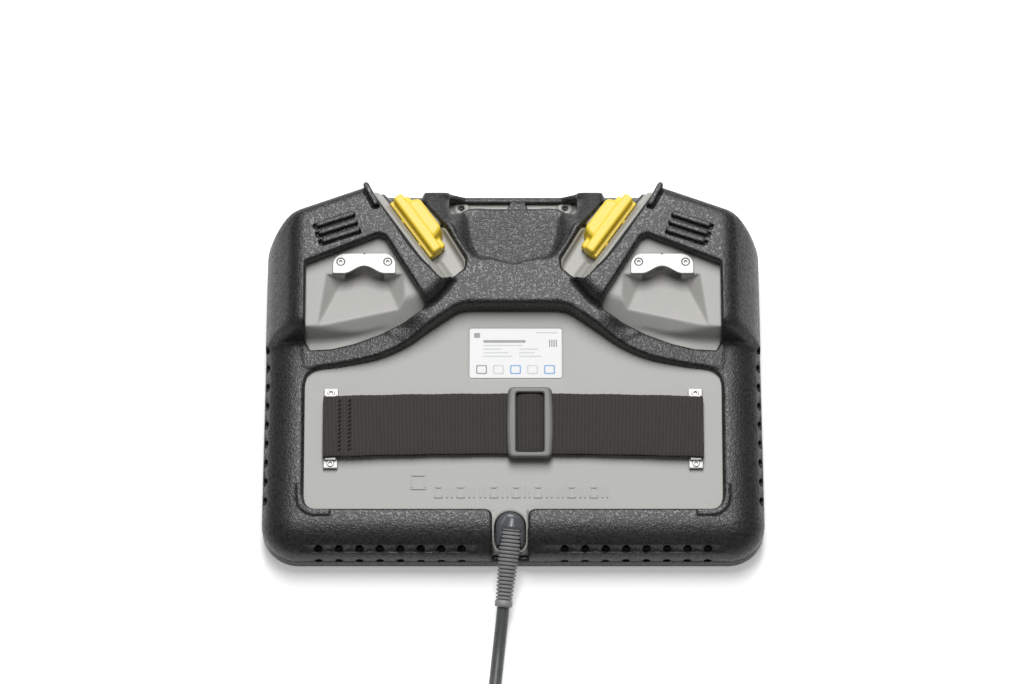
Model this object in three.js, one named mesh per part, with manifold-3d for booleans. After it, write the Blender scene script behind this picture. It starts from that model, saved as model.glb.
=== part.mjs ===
// Handheld teach pendant lying face down: +X right, +Y top edge, +Z out of the back. Millimetres.
import * as THREE from 'three';
import { mergeVertices } from 'three/addons/utils/BufferGeometryUtils.js';
import Module from 'manifold-3d';

const wasm = await Module();
wasm.setup();

// Overall shell
const HALF_X = 150;
const HALF_Y = 115.5;
const CORNER_R = 22;
const SHOULDER_R = 26;
const SHOULDER_X = 148.5;
const EAR_X = 88;
const EAR_Y = 112.5;
const GAP = 0.3;
const SKIN = 3;
const WALL = 2.5;
const SLIVER = 0.015;

// Heights
const SPLIT_Z = 12;
const CORE_Z = 13;
const PANEL_Z = 28;
const FRAME_Z = 31;
const SHELF_Z = 41;
const GRIP_Z = 50;
const POCKET_Z = 42;
const CHANNEL_Z = 34;
const SLOT_Z = 17;

// Switch channels: a frame along the channel's outer wall
const CHANNEL_X = 41;
const CHANNEL_Y = 53;
const CHANNEL_TURN = THREE.MathUtils.degToRad(54.9);
const SWITCH_TRAVEL = 3;

// Front
const FRONT_Z = 3;
const FRONT_TOP = 11.6;
const GLASS_X = 136;
const GLASS_Y = 88;
const GLASS_MID_Y = -17;
const GLASS_Z = 6;
const STOP_X = -98;
const STOP_Y = 87.5;
const POWER_X = 98;
const USB_Y = -40;

// Hanger plates
const PLATE_X = 89.5;
const PLATE_HALF = 19;
const PLATE_Y0 = 57.2;
const PLATE_Y1 = 70.2;
const PLATE_T = 1.5;
const PLATE_SCREW_X = 14.1;
const PLATE_SCREW_Y = 65.2;

// Hand strap
const STRAP_Y = -37.6;
const STRAP_HALF = 19;
const BAR_X = 109;
const BAR_HALF = 4;
const TAB_HALF = 24.4;
const BAR_Z0 = 30;
const BAR_Z1 = 31.9;
const TAB_SCREW = 22;
const BUCKLE_X = 10;
const STRAP_BOW = 2.3;
const BUCKLE_Y = STRAP_Y + 2.2;

// Cable
const CORD_R = 3.75;
const BOOT_START = [-1.5, -103.5, 25.2];
const BOOT_END = [-5.9, -143.2, 11.2];
const COIL_X = 12;
const COIL_Y = -274;
const COIL_R = 45;
const COIL_HALF = 15;
const TAIL_Y = COIL_Y + COIL_R + 11.25;
const TAIL_LEVEL = 15;
const TAIL_DROP = 55;
const PLUG_Z = 11.3;

// ---------- materials ----------
function material(color, roughness, metalness) {
  return new THREE.MeshStandardMaterial({ color, roughness, metalness });
}
const RUBBER = () => material(0x2b2b2c, 0.75, 0);
const GREY = () => material(0x9d9c96, 0.6, 0);
const YELLOW = () => material(0xe8c53a, 0.35, 0);
const STEEL = () => material(0xc8c8c4, 0.3, 1);
const WEB = () => material(0x2b2724, 0.95, 0);
const BLACK = () => material(0x1b1b1d, 0.5, 0);
const BOARD = () => material(0x1d5a34, 0.6, 0);
const RED = () => material(0xc01818, 0.4, 0);
const GLASS = () => material(0x101418, 0.1, 0);

// ---------- solids ----------
function solid(geometry) {
  const bare = new THREE.BufferGeometry();
  bare.setAttribute('position', geometry.getAttribute('position').clone());
  if (geometry.index) bare.setIndex(geometry.index.clone());
  const merged = mergeVertices(bare, 1e-4);
  const index = [];
  const a = merged.index.array;
  for (let i = 0; i < a.length; i += 3) {
    if (a[i] !== a[i + 1] && a[i + 1] !== a[i + 2] && a[i] !== a[i + 2]) {
      index.push(a[i], a[i + 1], a[i + 2]);
    }
  }
  const vertProperties = Float32Array.from(merged.getAttribute('position').array);
  const triVerts = Uint32Array.from(index);
  return new wasm.Manifold(new wasm.Mesh({ numProp: 3, vertProperties, triVerts }));
}

function geometryOf(body) {
  const m = body.asOriginal().simplify(SLIVER).getMesh();
  const g = new THREE.BufferGeometry();
  g.setAttribute('position', new THREE.BufferAttribute(Float32Array.from(m.vertProperties), 3));
  g.setIndex(Array.from(m.triVerts));
  const flat = g.toNonIndexed();
  flat.computeVertexNormals();
  return flat;
}

const join = (list) => list.reduce((a, b) => a.add(b));
const cut = (body, list) => list.reduce((a, b) => a.subtract(b), body);
const mirror = (body) => body.mirror([1, 0, 0]);
const both = (body) => body.add(mirror(body));
const heightOf = (z, p) => (typeof z === 'function' ? z(p[0], p[1]) : z);

// Joins rings of equal length, lowest first, each counter-clockwise seen from +Z.
function loft(rings) {
  const n = rings[0].length;
  const positions = rings.flat(2);
  const index = [];
  for (let r = 0; r + 1 < rings.length; r += 1) {
    for (let i = 0; i < n; i += 1) {
      const j = (i + 1) % n;
      const a = r * n;
      const b = a + n;
      index.push(a + i, a + j, b + j, a + i, b + j, b + i);
    }
  }
  const top = (rings.length - 1) * n;
  const flat = (ring) => ring.map((p) => new THREE.Vector2(p[0], p[1]));
  for (const [a, b, c] of THREE.ShapeUtils.triangulateShape(flat(rings[0]), [])) index.push(c, b, a);
  for (const [a, b, c] of THREE.ShapeUtils.triangulateShape(flat(rings.at(-1)), [])) {
    index.push(top + a, top + b, top + c);
  }
  const g = new THREE.BufferGeometry();
  g.setAttribute('position', new THREE.Float32BufferAttribute(positions, 3));
  g.setIndex(index);
  return solid(g);
}

const ring = (points, z) => points.map((p) => [p[0], p[1], heightOf(z, p)]);
const prism = (points, z0, z1) => loft([ring(points, z0), ring(points, z1)]);

// Moves every edge of a counter-clockwise outline outwards by d.
function grow(points, d) {
  const n = points.length;
  return points.map((p, i) => {
    const a = points[(i + n - 1) % n];
    const b = points[(i + 1) % n];
    const u = new THREE.Vector2(p[0] - a[0], p[1] - a[1]).normalize();
    const v = new THREE.Vector2(b[0] - p[0], b[1] - p[1]).normalize();
    const m = new THREE.Vector2(u.y + v.y, -u.x - v.x).normalize();
    const reach = d / Math.max(0.35, m.x * u.y - m.y * u.x);
    return [p[0] + m.x * reach, p[1] + m.y * reach];
  });
}

// A prism whose upper edge is rounded by radius r in a few steps.
function rounded(points, z0, z1, r, steps) {
  const rings = [ring(points, z0)];
  for (let i = 0; i <= steps; i += 1) {
    const t = (i / steps) * Math.PI * 0.5;
    const drop = r * (1 - Math.sin(t));
    rings.push(ring(grow(points, -r * (1 - Math.cos(t))), (x, y) => heightOf(z1, [x, y]) - drop));
  }
  return loft(rings);
}

function arc(x, y, r, from, to, steps) {
  const out = [];
  for (let i = 0; i <= steps; i += 1) {
    const t = THREE.MathUtils.degToRad(from + ((to - from) * i) / steps);
    out.push([x + r * Math.cos(t), y + r * Math.sin(t)]);
  }
  return out;
}

function roundedRect(x, y, hx, hy, r, steps = 3) {
  return [
    ...arc(x + hx - r, y - hy + r, r, -90, 0, steps),
    ...arc(x + hx - r, y + hy - r, r, 0, 90, steps),
    ...arc(x - hx + r, y + hy - r, r, 90, 180, steps),
    ...arc(x - hx + r, y - hy + r, r, 180, 270, steps),
  ];
}

const rect = (x0, x1, y0, y1) => [[x0, y0], [x1, y0], [x1, y1], [x0, y1]];
const box = (x0, x1, y0, y1, z0, z1) => prism(rect(x0, x1, y0, y1), z0, z1);
const symmetric = (half) => [...half, ...half.map(([x, y]) => [-x, y]).reverse()];
const disc = (x, y, r, sides) => arc(x, y, r, 0, 360 - 360 / sides, sides - 1);

// A round bar between two points.
function rod(from, to, r0, r1 = r0, sides = 12) {
  const a = new THREE.Vector3(...from);
  const b = new THREE.Vector3(...to);
  const g = new THREE.CylinderGeometry(r1, r0, a.distanceTo(b), sides);
  const up = new THREE.Vector3(0, 1, 0);
  const turn = new THREE.Quaternion().setFromUnitVectors(up, b.clone().sub(a).normalize());
  g.applyQuaternion(turn);
  g.translate((a.x + b.x) / 2, (a.y + b.y) / 2, (a.z + b.z) / 2);
  return solid(g);
}

// A turned solid about a line parallel to Z.
function turned(profile, x, y, sides) {
  const g = new THREE.LatheGeometry(profile.map((p) => new THREE.Vector2(...p)), sides);
  g.rotateX(Math.PI / 2);
  g.translate(x, y, 0);
  const body = solid(g);
  return body.volume() < 0 ? solid(flipped(g)) : body;
}

function flipped(g) {
  const a = g.index.array.slice();
  for (let i = 0; i < a.length; i += 3) [a[i], a[i + 1]] = [a[i + 1], a[i]];
  const out = g.clone();
  out.setIndex(Array.from(a));
  return out;
}

// ---------- outlines ----------
function shellOutline() {
  const slope = THREE.MathUtils.degToRad(20);
  const endX = SHOULDER_X - SHOULDER_R + SHOULDER_R * Math.sin(slope);
  const endY = EAR_Y - (endX - EAR_X) * Math.tan(slope);
  const midY = endY - SHOULDER_R * Math.cos(slope);
  return symmetric([
    ...arc(HALF_X - CORNER_R, -HALF_Y + CORNER_R, CORNER_R, -90, 0, 5),
    ...arc(SHOULDER_X - SHOULDER_R, midY, SHOULDER_R, 0, 70, 4),
    [EAR_X, EAR_Y],
    [80, HALF_Y],
  ]);
}

function gripOutline() {
  const shell = shellOutline().filter((p) => p[0] > 80.5 && p[1] > 50);
  return [
    [62, 30], [80, 21.5], [100, 15.5], [124, 14.5], [149.2, 15.5],
    ...shell,
    [78, 113.2], [36, 53], [46, 41],
  ];
}

function shelfOutline() {
  return symmetric([
    [27, 38.2], [34, 36.2], [49, 25.4], [64, 14], [84, 24],
    [60, 60], [58, 92],
  ]);
}

const webOutline = () => [[30, 88], [60, 88], [62, 96], [54, 114.6], [30, 114.6]];
const webTop = (x, y) => SHELF_Z - (y - 88) * 0.58;

function bandOutline() {
  return symmetric([
    [20, 38.2], [34, 36.2], [49, 25.4], [64, 14], [81, 6.2], [103, 1.6], [126, -0.2],
    [128, 30], [100, 60], [20, 60],
  ]);
}

function panelOutline() {
  return symmetric([
    ...arc(118, -81.5, 6, -90, 0, 2),
    [124.3, -4], [121, 0], [103, 1.8], [81, 6.4], [64, 14.2], [49, 25.6], [34, 36.4], [27, 38.4],
  ]);
}

const bandTop = (x) => 36.5 - THREE.MathUtils.clamp((Math.abs(x) - 64) / 60, 0, 1) * 5.2;
const gripEnd = (x, y) => FRAME_Z + (y - 15.5) * 2.7;

function hangerWindow() {
  return [
    [109, 12.4], [122, 12], [124.4, 17], [124.4, 65], [81, 80], [77, 78], [53, 38.5], [54.5, 34.5],
    [65, 27.6], [80, 20.6], [95, 15.4],
  ];
}

function hookWindow() {
  return [[66, 38], [80, 31], [97, 25.5], [111, 23.5], [100.6, 56], [100.6, 71], [78.4, 71], [78.4, 56]];
}

function channelPoint(u, n) {
  const c = Math.cos(CHANNEL_TURN);
  const s = Math.sin(CHANNEL_TURN);
  return [CHANNEL_X + u * c - n * s, CHANNEL_Y + u * s + n * c];
}

function channelWindow() {
  return [[-2, 4], [2, 0], [78, 0], [78, 24], [2, 18.5], [-2, 14.5]].map((p) => channelPoint(...p));
}

const channelRect = (u0, u1, n0, n1) => rect(u0, u1, n0, n1).map((p) => channelPoint(...p));

function topPocket() {
  return symmetric([
    [2, 64.2], [13.6, 67.3], [20, 67.4], [24, 69.8], [28.9, 76.6], [33.3, 85.3], [36.4, 96], [37, 104],
  ]);
}

const topPocketFloor = (x, y) => 38.5 - (y - 66) * 0.27;
const hangerSlope = (x, y) => 35 + ((x - 122) * 0.324 + (y - 12) * 0.946) * 0.8;
const hookFloor = (x, y) => 30 + (66 - y) * 0.28;
const slotRect = () => rect(-38.4, 38.4, 103, 112.3);
const glandNotch = () => rect(-12.2, 8.6, -120, -88.6);

// ---------- rear shell ----------
// The stiff shell's outside moved outwards by d; the rubber sits on it and the cavity lies in it.
function core(d, z0) {
  const shell = shellOutline();
  const hills = [
    prism(grow(shell, d - SKIN), z0, 18 + d),
    prism(grow(shell, d - 7), z0, 22 + d),
    prism(grow(shell, d - 14.5), z0, PANEL_Z + d),
    both(prism(grow(gripOutline(), d - SKIN - 1), z0, 45.5 + d)
      .intersect(prism(rect(0, 160, 0, 120), z0 - 1, (x, y) => gripEnd(x, y) - 9 + d))),
    prism(grow(shelfOutline(), d - SKIN), z0, SHELF_Z - SKIN + d),
    both(prism(grow(webOutline(), d - SKIN), z0, (x, y) => webTop(x, y) - SKIN + d)),
    prism(grow(bandOutline(), d - SKIN), z0, PANEL_Z + 1.5 + d),
  ];
  const above = 70;
  const hanger = grow(hangerWindow(), SKIN - d);
  const dips = [
    both(prism(hanger, POCKET_Z + d, above)),
    both(prism(hanger, (x, y) => hangerSlope(x, y) + d, 90)),
    both(prism(grow(hookWindow(), -d), (x, y) => hookFloor(x, y) + d, above)),
    both(prism(grow(channelWindow(), -d), CHANNEL_Z + d, above)),
    prism(grow(topPocket(), SKIN - d), (x, y) => topPocketFloor(x, y) - SKIN + d, above),
    prism(grow(slotRect(), -d), SLOT_Z + d, above),
    prism(grow(glandNotch(), -d), 14.5 + d, above),
  ];
  return cut(join(hills), dips);
}

function sideVents() {
  const list = [];
  for (let i = 0; i < 10; i += 1) {
    const y = -86 + i * 12.2;
    list.push(rod([HALF_X + 2, y, 20], [HALF_X - 4.2, y, 20], 2.3, 2.3, 6));
  }
  return both(join(list));
}

function bottomVents() {
  const list = [];
  for (let i = 0; i < 8; i += 1) {
    const x = 30.6 + i * 12.15;
    list.push(rod([x, -HALF_Y - 2, 22], [x, -HALF_Y + 5.2, 17.4], 2.5, 2.5, 6));
  }
  return both(join(list));
}

function rearHousing() {
  const body = core(0, CORE_Z).subtract(core(-WALL, CORE_Z - 2));
  const holes = [prism(roundedRect(1.5, 10.8, 28.1, 16.2, 1.5, 2), 27.5, 60)];
  for (const u of [28, 46]) {
    const [x0, y0] = channelPoint(u, 3);
    const [x1, y1] = channelPoint(u, -4);
    holes.push(both(rod([x0, y0, 38], [x1, y1, 38], 2.4, 2.4, 8)));
  }
  for (const s of [-1, 1]) {
    const x = PLATE_X + s * PLATE_SCREW_X;
    holes.push(both(prism(disc(x, PLATE_SCREW_Y, 1.6, 8), 30, 50)));
    holes.push(both(prism(disc(BAR_X, STRAP_Y + s * TAB_SCREW, 1.6, 8), 20, 40)));
  }
  holes.push(both(prism(disc(31.5, 108.3, 1.7, 8), 10, 20)));
  holes.push(rod([-1.5, -84, 20.5], [-1.5, -92, 20.5], 4.4, 4.4, 10));
  return cut(body, holes);
}

function frameHill() {
  const shell = shellOutline();
  const steps = [[0, SPLIT_Z], [0, 15], [1.2, 20.5], [4.4, 26], [9, 29.6], [14, FRAME_Z]];
  return loft(steps.map(([inset, z]) => ring(grow(shell, -inset), z)));
}

function rearBumper() {
  const hills = [
    frameHill(),
    both(rounded(gripOutline(), 20, GRIP_Z, 6, 3).intersect(prism(rect(0, 160, 0, 120), 0, gripEnd))),
    rounded(shelfOutline(), 20, SHELF_Z, 3, 2),
    both(prism(webOutline(), 20, webTop)),
    rounded(bandOutline(), 20, bandTop, 1.5, 2),
  ];
  const outside = join(hills).intersect(prism(shellOutline(), 0, 80));
  const lid = 70;
  const body = cut(outside, [
    core(GAP, SPLIT_Z - 2),
    prism(panelOutline(), PANEL_Z - 1, lid),
    both(prism(hangerWindow(), 26, lid)),
    both(prism(grow(channelWindow(), WALL), 30, lid)),
    prism(topPocket(), topPocketFloor, lid),
    prism(slotRect(), 15, lid),
    prism(glandNotch(), SPLIT_Z + 1.5, lid),
    box(-38.4, 38.4, 112, 120, 20, lid),
    sideVents(),
    bottomVents(),
  ]);
  const ribs = [];
  for (const [x, y] of [[106.6, 89.4], [104.8, 83.6], [103.2, 77.9]]) {
    const bar = roundedRect(0, 0, 12.5, 1.9, 1.8, 2);
    const turn = THREE.MathUtils.degToRad(-19);
    const at = bar.map(([a, b]) => [
      x + a * Math.cos(turn) - b * Math.sin(turn),
      y + a * Math.sin(turn) + b * Math.cos(turn),
    ]);
    ribs.push(both(prism(at, GRIP_Z - 1.5, GRIP_Z + 0.9)));
  }
  return body.add(join(ribs));
}

// ---------- front ----------
function frontBumper() {
  const shell = shellOutline();
  const rim = [[2.2, 0], [0, 2.4], [0, SPLIT_Z - GAP]];
  const outside = loft(rim.map(([inset, z]) => ring(grow(shell, -inset), z)));
  return cut(outside, [
    prism(grow(shell, -9), -1, 20),
    prism(grow(shell, -2.4), FRONT_Z - GAP, 20),
    box(-160, -140, USB_Y - 10, USB_Y + 10, 3.2, 10.6),
  ]);
}

function frontFrame() {
  const outside = prism(grow(shellOutline(), -2.7), FRONT_Z, FRONT_TOP);
  return cut(outside, [
    prism(roundedRect(0, GLASS_MID_Y, GLASS_X - 3, GLASS_Y - 3, 4), 0, 20),
    prism(roundedRect(0, GLASS_MID_Y, GLASS_X + GAP, GLASS_Y + GAP, 5), GLASS_Z - GAP, 20),
    prism(disc(STOP_X, STOP_Y, 14.8, 24), 0, 20),
    prism(disc(POWER_X, STOP_Y, 6.1, 16), 0, 20),
    box(-160, -138, USB_Y - 7, USB_Y + 7, 4, 10.2),
  ]);
}

function housingGasket() {
  const shell = shellOutline();
  return prism(grow(shell, -3.3), 11.9, 12.7).subtract(prism(grow(shell, -5.2), 11, 14));
}

const touchGlass = () => prism(roundedRect(0, GLASS_MID_Y, GLASS_X, GLASS_Y, 4.7), GLASS_Z, 7.8);

function displayModule() {
  const body = box(-133, 133, GLASS_MID_Y - 84, GLASS_MID_Y + 84, 8.2, 13);
  const back = box(-60, 60, GLASS_MID_Y - 30, GLASS_MID_Y + 30, 12, 14);
  return body.add(back).subtract(box(-120, -90, -60, 30, 12.2, 15));
}

function chassisPlate() {
  const body = prism(roundedRect(0, -14, 134, 71, 6), 14.4, 15.9);
  const bosses = [];
  for (const x of [-70, 70]) {
    for (const y of [-58, 28]) bosses.push(prism(disc(x, y, 3, 8), 15.5, 17.7));
  }
  return join([body, ...bosses]).subtract(prism(roundedRect(0, -15, 40, 25, 5), 10, 20));
}

function mainBoard() {
  const body = prism(roundedRect(0, -15, 80, 52, 3), 18, 19.6);
  const parts = [
    box(-60, -48, -40, 20, 19, 22), box(20, 45, -50, -30, 19, 21.5), box(30, 60, 5, 25, 19, 22.5),
    box(-30, 20, 22, 34, 19, 23),
  ];
  return join([body, ...parts]);
}

function heatSink() {
  const fins = [box(-20, 14, -20, 14, 19.9, 21)];
  for (let i = 0; i < 7; i += 1) fins.push(box(-20, 14, -20 + i * 5.2, -17.8 + i * 5.2, 20.5, 24.8));
  return join(fins);
}

const innerLead = () => rod([-1.5, -88.2, 20.5], [-1.5, -70.4, 21.5], 3.2, 3.2, 10);

function cableClamp() {
  const body = box(-8.5, 5.5, -84, -78, 16.2, 25);
  return body.subtract(rod([-1.5, -88.2, 20.5], [-1.5, -70.4, 21.5], 3.6, 3.6, 10));
}

function boardConnector() {
  const body = box(-10, 7, -70, -61, 19.9, 25);
  return body.subtract(box(-8, 5, -71, -67, 23.8, 26));
}

function switchButton() {
  const flange = rounded(channelRect(14.5, 60.2, 3.8, 9.6), CHANNEL_Z + 0.7, 45, 1.2, 2);
  const block = [[26.4, 9], [55.6, 9], [53.6, 16.8], [29, 16.8]].map((p) => channelPoint(...p));
  const stems = [28, 46].map((u) => {
    const [x0, y0] = channelPoint(u, 5);
    const [x1, y1] = channelPoint(u, -4.2);
    return rod([x0, y0, 38], [x1, y1, 38], 1.8, 1.8, 8);
  });
  return join([flange, rounded(block, CHANNEL_Z + 0.7, 43.4, 1.2, 2), ...stems]);
}

function switchModule() {
  const body = prism(channelRect(21, 53, -9.2, -2.9), 30, 42.3);
  const bores = [28, 46].map((u) => {
    const [x0, y0] = channelPoint(u, 0);
    const [x1, y1] = channelPoint(u, -8);
    return rod([x0, y0, 38], [x1, y1, 38], 2.3, 2.3, 8);
  });
  const legs = [25, 37, 49].map((u) => prism(channelRect(u - 1, u + 1, -7, -5), 25, 31));
  return cut(join([body, ...legs]), bores);
}

function stopHead() {
  return turned(
    [[0, 1.5], [6, 1.7], [9.4, 2.6], [10.8, 4.6], [10.8, 6.4], [9, 8], [9, 9.6], [4.3, 9.6],
      [4.3, 5.7], [0, 5.7]],
    STOP_X, STOP_Y, 24,
  );
}

const stopStem = () => turned([[0, 6], [4, 6], [4, 24], [0, 24]], STOP_X, STOP_Y, 16);

function stopCollar() {
  return turned(
    [[11.6, 4], [14.4, 4], [14.4, 15.4], [4.6, 15.4], [4.6, 14], [11.6, 14], [11.6, 4]],
    STOP_X, STOP_Y, 24,
  );
}

function stopBlock() {
  const body = box(STOP_X - 9, STOP_X + 9, STOP_Y - 9, STOP_Y + 9, 18, 33);
  const ears = box(STOP_X - 11, STOP_X + 11, STOP_Y - 4, STOP_Y + 4, 20, 24);
  return body.add(ears).subtract(prism(disc(STOP_X, STOP_Y, 4.6, 16), 10, 30));
}

function powerButton() {
  return turned([[0, 2.4], [5.2, 2.4], [5.7, 3], [5.7, 11.9], [7.2, 11.9], [7.2, 13], [0, 13]],
    POWER_X, STOP_Y, 16);
}

function powerModule() {
  const body = box(POWER_X - 8, POWER_X + 8, STOP_Y - 8, STOP_Y + 8, 17, 21);
  return body.add(prism(disc(POWER_X, STOP_Y, 2.5, 8), 14.6, 17.5));
}

function usbPort() {
  const body = box(-147, -138.3, USB_Y - 6.6, USB_Y + 6.6, 4.4, 9.9);
  return body.subtract(box(-150, -141, USB_Y - 5.6, USB_Y + 5.6, 5.3, 9));
}

function usbCover() {
  const lid = box(-149.6, -148.1, USB_Y - 9.5, USB_Y + 9.5, 3.6, 10.2);
  const plug = box(-148.3, -147.5, USB_Y - 5, USB_Y + 5, 5.8, 8.5);
  return lid.add(plug);
}

// ---------- rear fittings ----------
function hangerPlate() {
  const x0 = PLATE_X - PLATE_HALF;
  const x1 = PLATE_X + PLATE_HALF;
  const arch = arc(PLATE_X, PLATE_Y0 - 8, 13.2, 37.3, 142.7, 6).reverse();
  const outline = [
    [x0, PLATE_Y0], ...arch, [x1, PLATE_Y0],
    ...arc(x1 - 5, PLATE_Y1 - 5, 5, 0, 90, 3),
    [PLATE_X + 1.2, PLATE_Y1], [PLATE_X, PLATE_Y1 - 1], [PLATE_X - 1.2, PLATE_Y1],
    ...arc(x0 + 5, PLATE_Y1 - 5, 5, 90, 180, 3),
  ];
  const z0 = POCKET_Z + GAP;
  const body = prism(outline, z0, z0 + PLATE_T);
  return cut(body, [-1, 1].map((s) => countersunk(s, 2.9, 1.7, z0 - 1, z0 + PLATE_T)));
}

function countersunk(side, wide, narrow, z0, z1) {
  const profile = [[0, z0], [narrow, z0], [narrow, z1 - 1.2], [wide, z1], [wide, z1 + 1], [0, z1 + 1]];
  return turned(profile, PLATE_X + side * PLATE_SCREW_X, PLATE_SCREW_Y, 12);
}

function hangerScrew(side) {
  const top = POCKET_Z + GAP + PLATE_T;
  const profile = [[0, 37], [1.3, 37], [1.3, top - 1.1], [2.45, top - 0.02], [2.45, top + 0.1],
    [1, top + 0.1], [1, top - 0.7], [0, top - 0.7]];
  return turned(profile, PLATE_X + side * PLATE_SCREW_X, PLATE_SCREW_Y, 12);
}

// The slack webbing lies a little towards the switches at its middle.
const strapBow = (x) => STRAP_BOW * Math.max(0, 1 - (x / 112) ** 2);

function strap() {
  const half = [
    [22, 32.7], [50, 32.95], [78, 33.4], [103, 34], [112.8, 34], [114.6, 32.4], [114.6, 29.8], [113.2, 28.4],
    [104, 28.4], [104, 29.6], [112.4, 29.7], [113.3, 30.6], [113.3, 31.5], [112.3, 32.2], [103, 32.2],
    [78, 31.3], [50, 30.8], [22, 30.5],
  ];
  const loop = [...half, ...half.map(([x, z]) => [-x, z]).reverse()].reverse();
  const g = new THREE.ExtrudeGeometry(new THREE.Shape(loop.map((p) => new THREE.Vector2(...p))), {
    depth: 2 * STRAP_HALF, bevelEnabled: false,
  });
  g.rotateX(Math.PI / 2);
  g.translate(0, STRAP_Y + STRAP_HALF, 0);
  return solid(g).refineToLength(16).warp((v) => { v[1] += strapBow(v[0]); });
}

function strapClamp() {
  const y = STRAP_Y;
  const thin = BAR_HALF - 0.6;
  const bar = box(BAR_X - thin, BAR_X + thin, y - TAB_HALF + 1, y + TAB_HALF - 1, BAR_Z0, BAR_Z1);
  const feet = [-1, 1].map((s) => {
    const a = y + s * (STRAP_HALF + 0.5);
    const b = y + s * TAB_HALF;
    return box(BAR_X - BAR_HALF, BAR_X + BAR_HALF, Math.min(a, b), Math.max(a, b), 28.3, BAR_Z1);
  });
  const holes = [-1, 1].map((s) => prism(disc(BAR_X, y + s * TAB_SCREW, 1.6, 8), 20, 40));
  return cut(join([bar, ...feet]), holes);
}

function strapScrew(side) {
  const profile = [[0, 24.6], [1.3, 24.6], [1.3, 32.2], [2.1, 32.2], [2.1, 33.2], [1, 33.2],
    [1, 32.6], [0, 32.6]];
  return turned(profile, BAR_X, STRAP_Y + side * TAB_SCREW, 12);
}

function buckle() {
  const outer = roundedRect(BUCKLE_X, BUCKLE_Y, 13.9, 22, 2.5, 2);
  const inner = roundedRect(BUCKLE_X, BUCKLE_Y, 8.6, STRAP_HALF + 0.4, 0.8, 1);
  const frame = rounded(outer, 33, 35.8, 1, 2).subtract(prism(inner, 20, 50));
  const bar = box(BUCKLE_X - 3.5, BUCKLE_X + 3.5, BUCKLE_Y - 21.6, BUCKLE_Y + 21.6, 28.1, 30.1);
  const posts = [-1, 1].map((s) => {
    const a = BUCKLE_Y + s * (STRAP_HALF + 0.8);
    const b = BUCKLE_Y + s * 21.6;
    return box(BUCKLE_X - 3.5, BUCKLE_X + 3.5, Math.min(a, b), Math.max(a, b), 28.5, 34);
  });
  return join([frame, bar, ...posts]);
}

const label = () => prism(roundedRect(1.5, 10.8, 27.7, 15.8, 1.2, 2), 27.8, 28.05);

function slotScrew() {
  return turned([[0, 13], [1.3, 13], [1.3, 17.3], [2.2, 17.3], [2.2, 18.6], [1, 18.6], [1, 17.9], [0, 17.9]],
    31.5, 108.3, 12);
}

function cableGland() {
  const plan = [[7.2, -111], ...arc(-1.8, -98.5, 9, 0, 180, 8), [-10.8, -111]];
  const body = rounded(plan, 14.8, 31, 4, 3);
  const path = rod([-1.3, -101.8, 25.8], [-3.4, -120.6, 19.2], 6.9, 6.9, 12);
  return cut(body, [path]);
}

function boot() {
  const start = new THREE.Vector3(...BOOT_START);
  const end = new THREE.Vector3(...BOOT_END);
  const at = (t) => start.clone().lerp(end, t).toArray();
  const rings = [];
  for (let i = 0; i < 5; i += 1) {
    const t = 0.3 + i * 0.13;
    rings.push(rod(at(t), at(t + 0.07), 6.5 - i * 0.3, 6.4 - i * 0.3, 10));
  }
  return join([rod(at(0), at(0.26), 6.1, 6.2, 10), rod(at(0), at(0.97), 5.4, 4.7, 10),
    rod(at(0.93), at(1), 5.2, 5.2, 10), ...rings]);
}

function tube(points, steps) {
  const path = new THREE.CatmullRomCurve3(points.map((p) => new THREE.Vector3(...p)), false, 'centripetal');
  const section = new THREE.Shape(disc(0, 0, CORD_R, 10).map((p) => new THREE.Vector2(...p)));
  return solid(new THREE.ExtrudeGeometry(section, { extrudePath: path, steps, bevelEnabled: false }));
}

function cable() {
  const r = CORD_R + 0.2;
  return tube([
    [-5.95, -143.5, 11.05], [-6.8, -152, 8.2], [-7.8, -161, 5.9], [-8.8, -170, 4.4], [-9.8, -180, r],
    [-10.6, -187.6, r], [-11.46, -195.25, r], [-13.23, -203.4, r], [-16.63, -211.1, r], [-22, -220.4, 4.2],
    [-27, -229.06, 4.5], [-32, -237.72, 4.7], [-36.71, -245.87, 4.7],
  ], 30);
}

function cableCoil() {
  const r0 = COIL_R - COIL_HALF + 1;
  const r1 = COIL_R + COIL_HALF - 1;
  const profile = [[r0 + 3, 1.2], [r1 - 3, 1.2], [r1, 4.5], [r1, 27], [r1 - 4, 30.9], [r0 + 4, 30.9],
    [r0, 27], [r0, 4.5], [r0 + 3, 1.2]];
  const ringBody = turned(profile, COIL_X, COIL_Y, 28);
  const entry = rod([-37.5, -247.24, 4.7], [-14.2, -206.88, 4.7], 4.4, 4.4, 12);
  return cut(ringBody, [entry, box(-24, COIL_X + 0.4, TAIL_Y - 4.3, -200, 21.6, 40)]);
}

function coilTie() {
  const near = COIL_Y - COIL_R + COIL_HALF + 0.2;
  const far = COIL_Y - COIL_R - COIL_HALF - 0.2;
  const outside = box(COIL_X - 6, COIL_X + 6, far - 1.2, near + 1.2, 0, 32.5);
  return outside.subtract(box(COIL_X - 10, COIL_X + 10, far, near, 0.9, 31.3));
}

function cableTail() {
  const top = 27.2;
  const points = [[COIL_X, TAIL_Y, top]];
  for (let i = 0; i <= 8; i += 1) {
    const t = i / 8;
    const z = top + (PLUG_Z - top) * (1 - Math.cos(Math.PI * t)) * 0.5;
    points.push([COIL_X - TAIL_LEVEL - TAIL_DROP * t, TAIL_Y, z]);
  }
  return tube(points, 14);
}

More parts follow.
